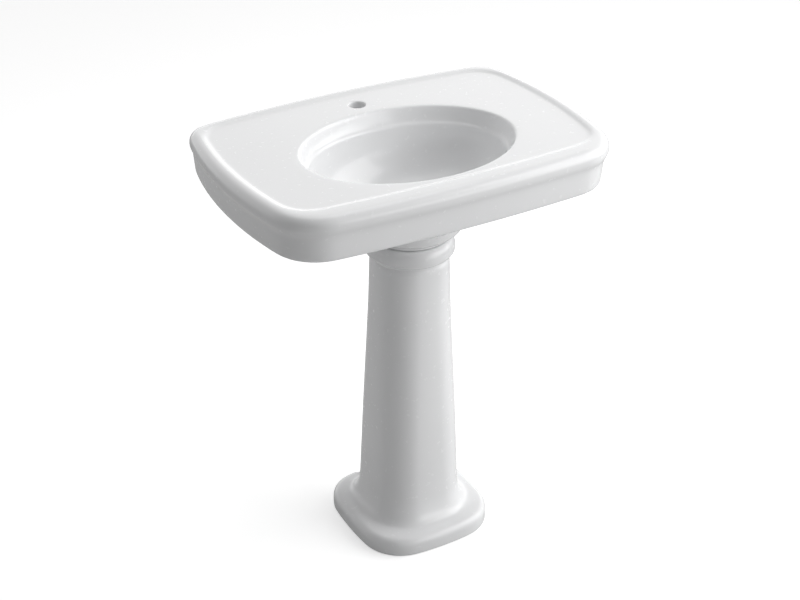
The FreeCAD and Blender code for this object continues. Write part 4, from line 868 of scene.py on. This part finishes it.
def make_floor():
    """A pale floor: white where the camera looks at it, duller where the china mirrors it."""
    mesh = bmesh.new()
    bmesh.ops.create_grid(mesh, x_segments=8, y_segments=8, size=15.0)
    data = bpy.data.meshes.new("studio_floor")
    mesh.to_mesh(data)
    mesh.free()
    floor = bpy.data.objects.new("studio_floor", data)
    bpy.context.scene.collection.objects.link(floor)
    material, nodes, links, shader = new_material("pale_floor")
    shader.inputs["Base Color"].default_value = (0.88, 0.88, 0.88, 1.0)
    shader.inputs["Roughness"].default_value = 0.95
    shader.inputs["Specular IOR Level"].default_value = 0.1
    shader.inputs["Emission Color"].default_value = (1.0, 1.0, 1.0, 1.0)
    shader.inputs["Emission Strength"].default_value = FLOOR_GLOW
    dull = nodes.new("ShaderNodeBsdfDiffuse")
    dull.inputs["Color"].default_value = (FLOOR_BOUNCE, FLOOR_BOUNCE, FLOOR_BOUNCE, 1.0)
    path = nodes.new("ShaderNodeLightPath")
    mix = nodes.new("ShaderNodeMixShader")
    links.new(path.outputs["Is Camera Ray"], mix.inputs[0])
    links.new(dull.outputs["BSDF"], mix.inputs[1])
    links.new(shader.outputs["BSDF"], mix.inputs[2])
    links.new(mix.outputs["Shader"], nodes["Material Output"].inputs["Surface"])
    data.materials.append(material)


def add_area(name, place, target, width, height, power):
    """A soft rectangular light at a place in metres, facing a target."""
    light = bpy.data.lights.new(name, "AREA")
    light.shape = "RECTANGLE"
    light.size = width
    light.size_y = height
    light.energy = power
    lamp = bpy.data.objects.new(name, light)
    lamp.location = place
    lamp.rotation_euler = (Vector(target) - Vector(place)).to_track_quat("-Z", "Y").to_euler()
    bpy.context.scene.collection.objects.link(lamp)


def make_world(dark, bright, ceiling):
    """A room that is dim at the front left, bright at the back right, and dimmer overhead."""
    world = bpy.data.worlds.new("studio")
    bpy.context.scene.world = world
    world.use_nodes = True
    nodes, links = world.node_tree.nodes, world.node_tree.links
    background = nodes["Background"]
    background.inputs["Color"].default_value = (1.0, 1.0, 1.0, 1.0)
    place = nodes.new("ShaderNodeTexCoord")
    split = nodes.new("ShaderNodeSeparateXYZ")
    aside = nodes.new("ShaderNodeVectorMath")
    aside.operation = "DOT_PRODUCT"
    aside.inputs[1].default_value = (0.58, 0.72, 0.0)
    level = nodes.new("ShaderNodeMapRange")
    level.inputs["From Min"].default_value = -0.95
    level.inputs["From Max"].default_value = 0.95
    level.inputs["To Min"].default_value = dark
    level.inputs["To Max"].default_value = bright
    above = nodes.new("ShaderNodeMapRange")
    above.inputs["From Min"].default_value = 0.15
    above.inputs["From Max"].default_value = 0.9
    above.inputs["To Min"].default_value = 1.0
    above.inputs["To Max"].default_value = ceiling
    both = nodes.new("ShaderNodeMath")
    both.operation = "MULTIPLY"
    links.new(place.outputs["Generated"], split.inputs["Vector"])
    links.new(place.outputs["Generated"], aside.inputs[0])
    links.new(aside.outputs["Value"], level.inputs["Value"])
    links.new(split.outputs["Z"], above.inputs["Value"])
    links.new(level.outputs["Result"], both.inputs[0])
    links.new(above.outputs["Result"], both.inputs[1])
    links.new(both.outputs["Value"], background.inputs["Strength"])


def make_camera():
    """Looks down from the front left, nearly level, through a long lens."""
    azimuth, elevation, roll = (math.radians(angle) for angle in CAMERA_ANGLES)
    back = Vector((
        math.sin(azimuth) * math.cos(elevation), -math.cos(azimuth) * math.cos(elevation),
        math.sin(elevation),
    ))
    level = Vector((math.cos(azimuth), math.sin(azimuth), 0.0))
    upright = back.cross(level)
    right = level * math.cos(roll) + upright * math.sin(roll)
    up = upright * math.cos(roll) - level * math.sin(roll)
    data = bpy.data.cameras.new("camera")
    data.lens = CAMERA_LENS
    data.sensor_width = 36.0
    camera = bpy.data.objects.new("camera", data)
    place = Matrix((right, up, back)).transposed().to_4x4()
    place.translation = Vector(CAMERA_PLACE)
    camera.matrix_world = place
    bpy.context.scene.collection.objects.link(camera)
    bpy.context.scene.camera = camera


bpy.context.scene.view_settings.view_transform = "Standard"
make_floor()
make_world(0.10, 1.60, 0.27)
add_area("key", (2.6, -1.3, 2.2), (0.0, 0.0, 0.6), 2.8, 3.0, 66.0)
add_area("overhead", (0.2, 0.5, 3.0), (0.0, 0.0, 0.8), 2.0, 1.6, 12.0)
add_area("fill", (1.5, -2.9, 1.3), (0.0, 0.0, 0.45), 1.8, 1.8, 18.0)
make_camera()
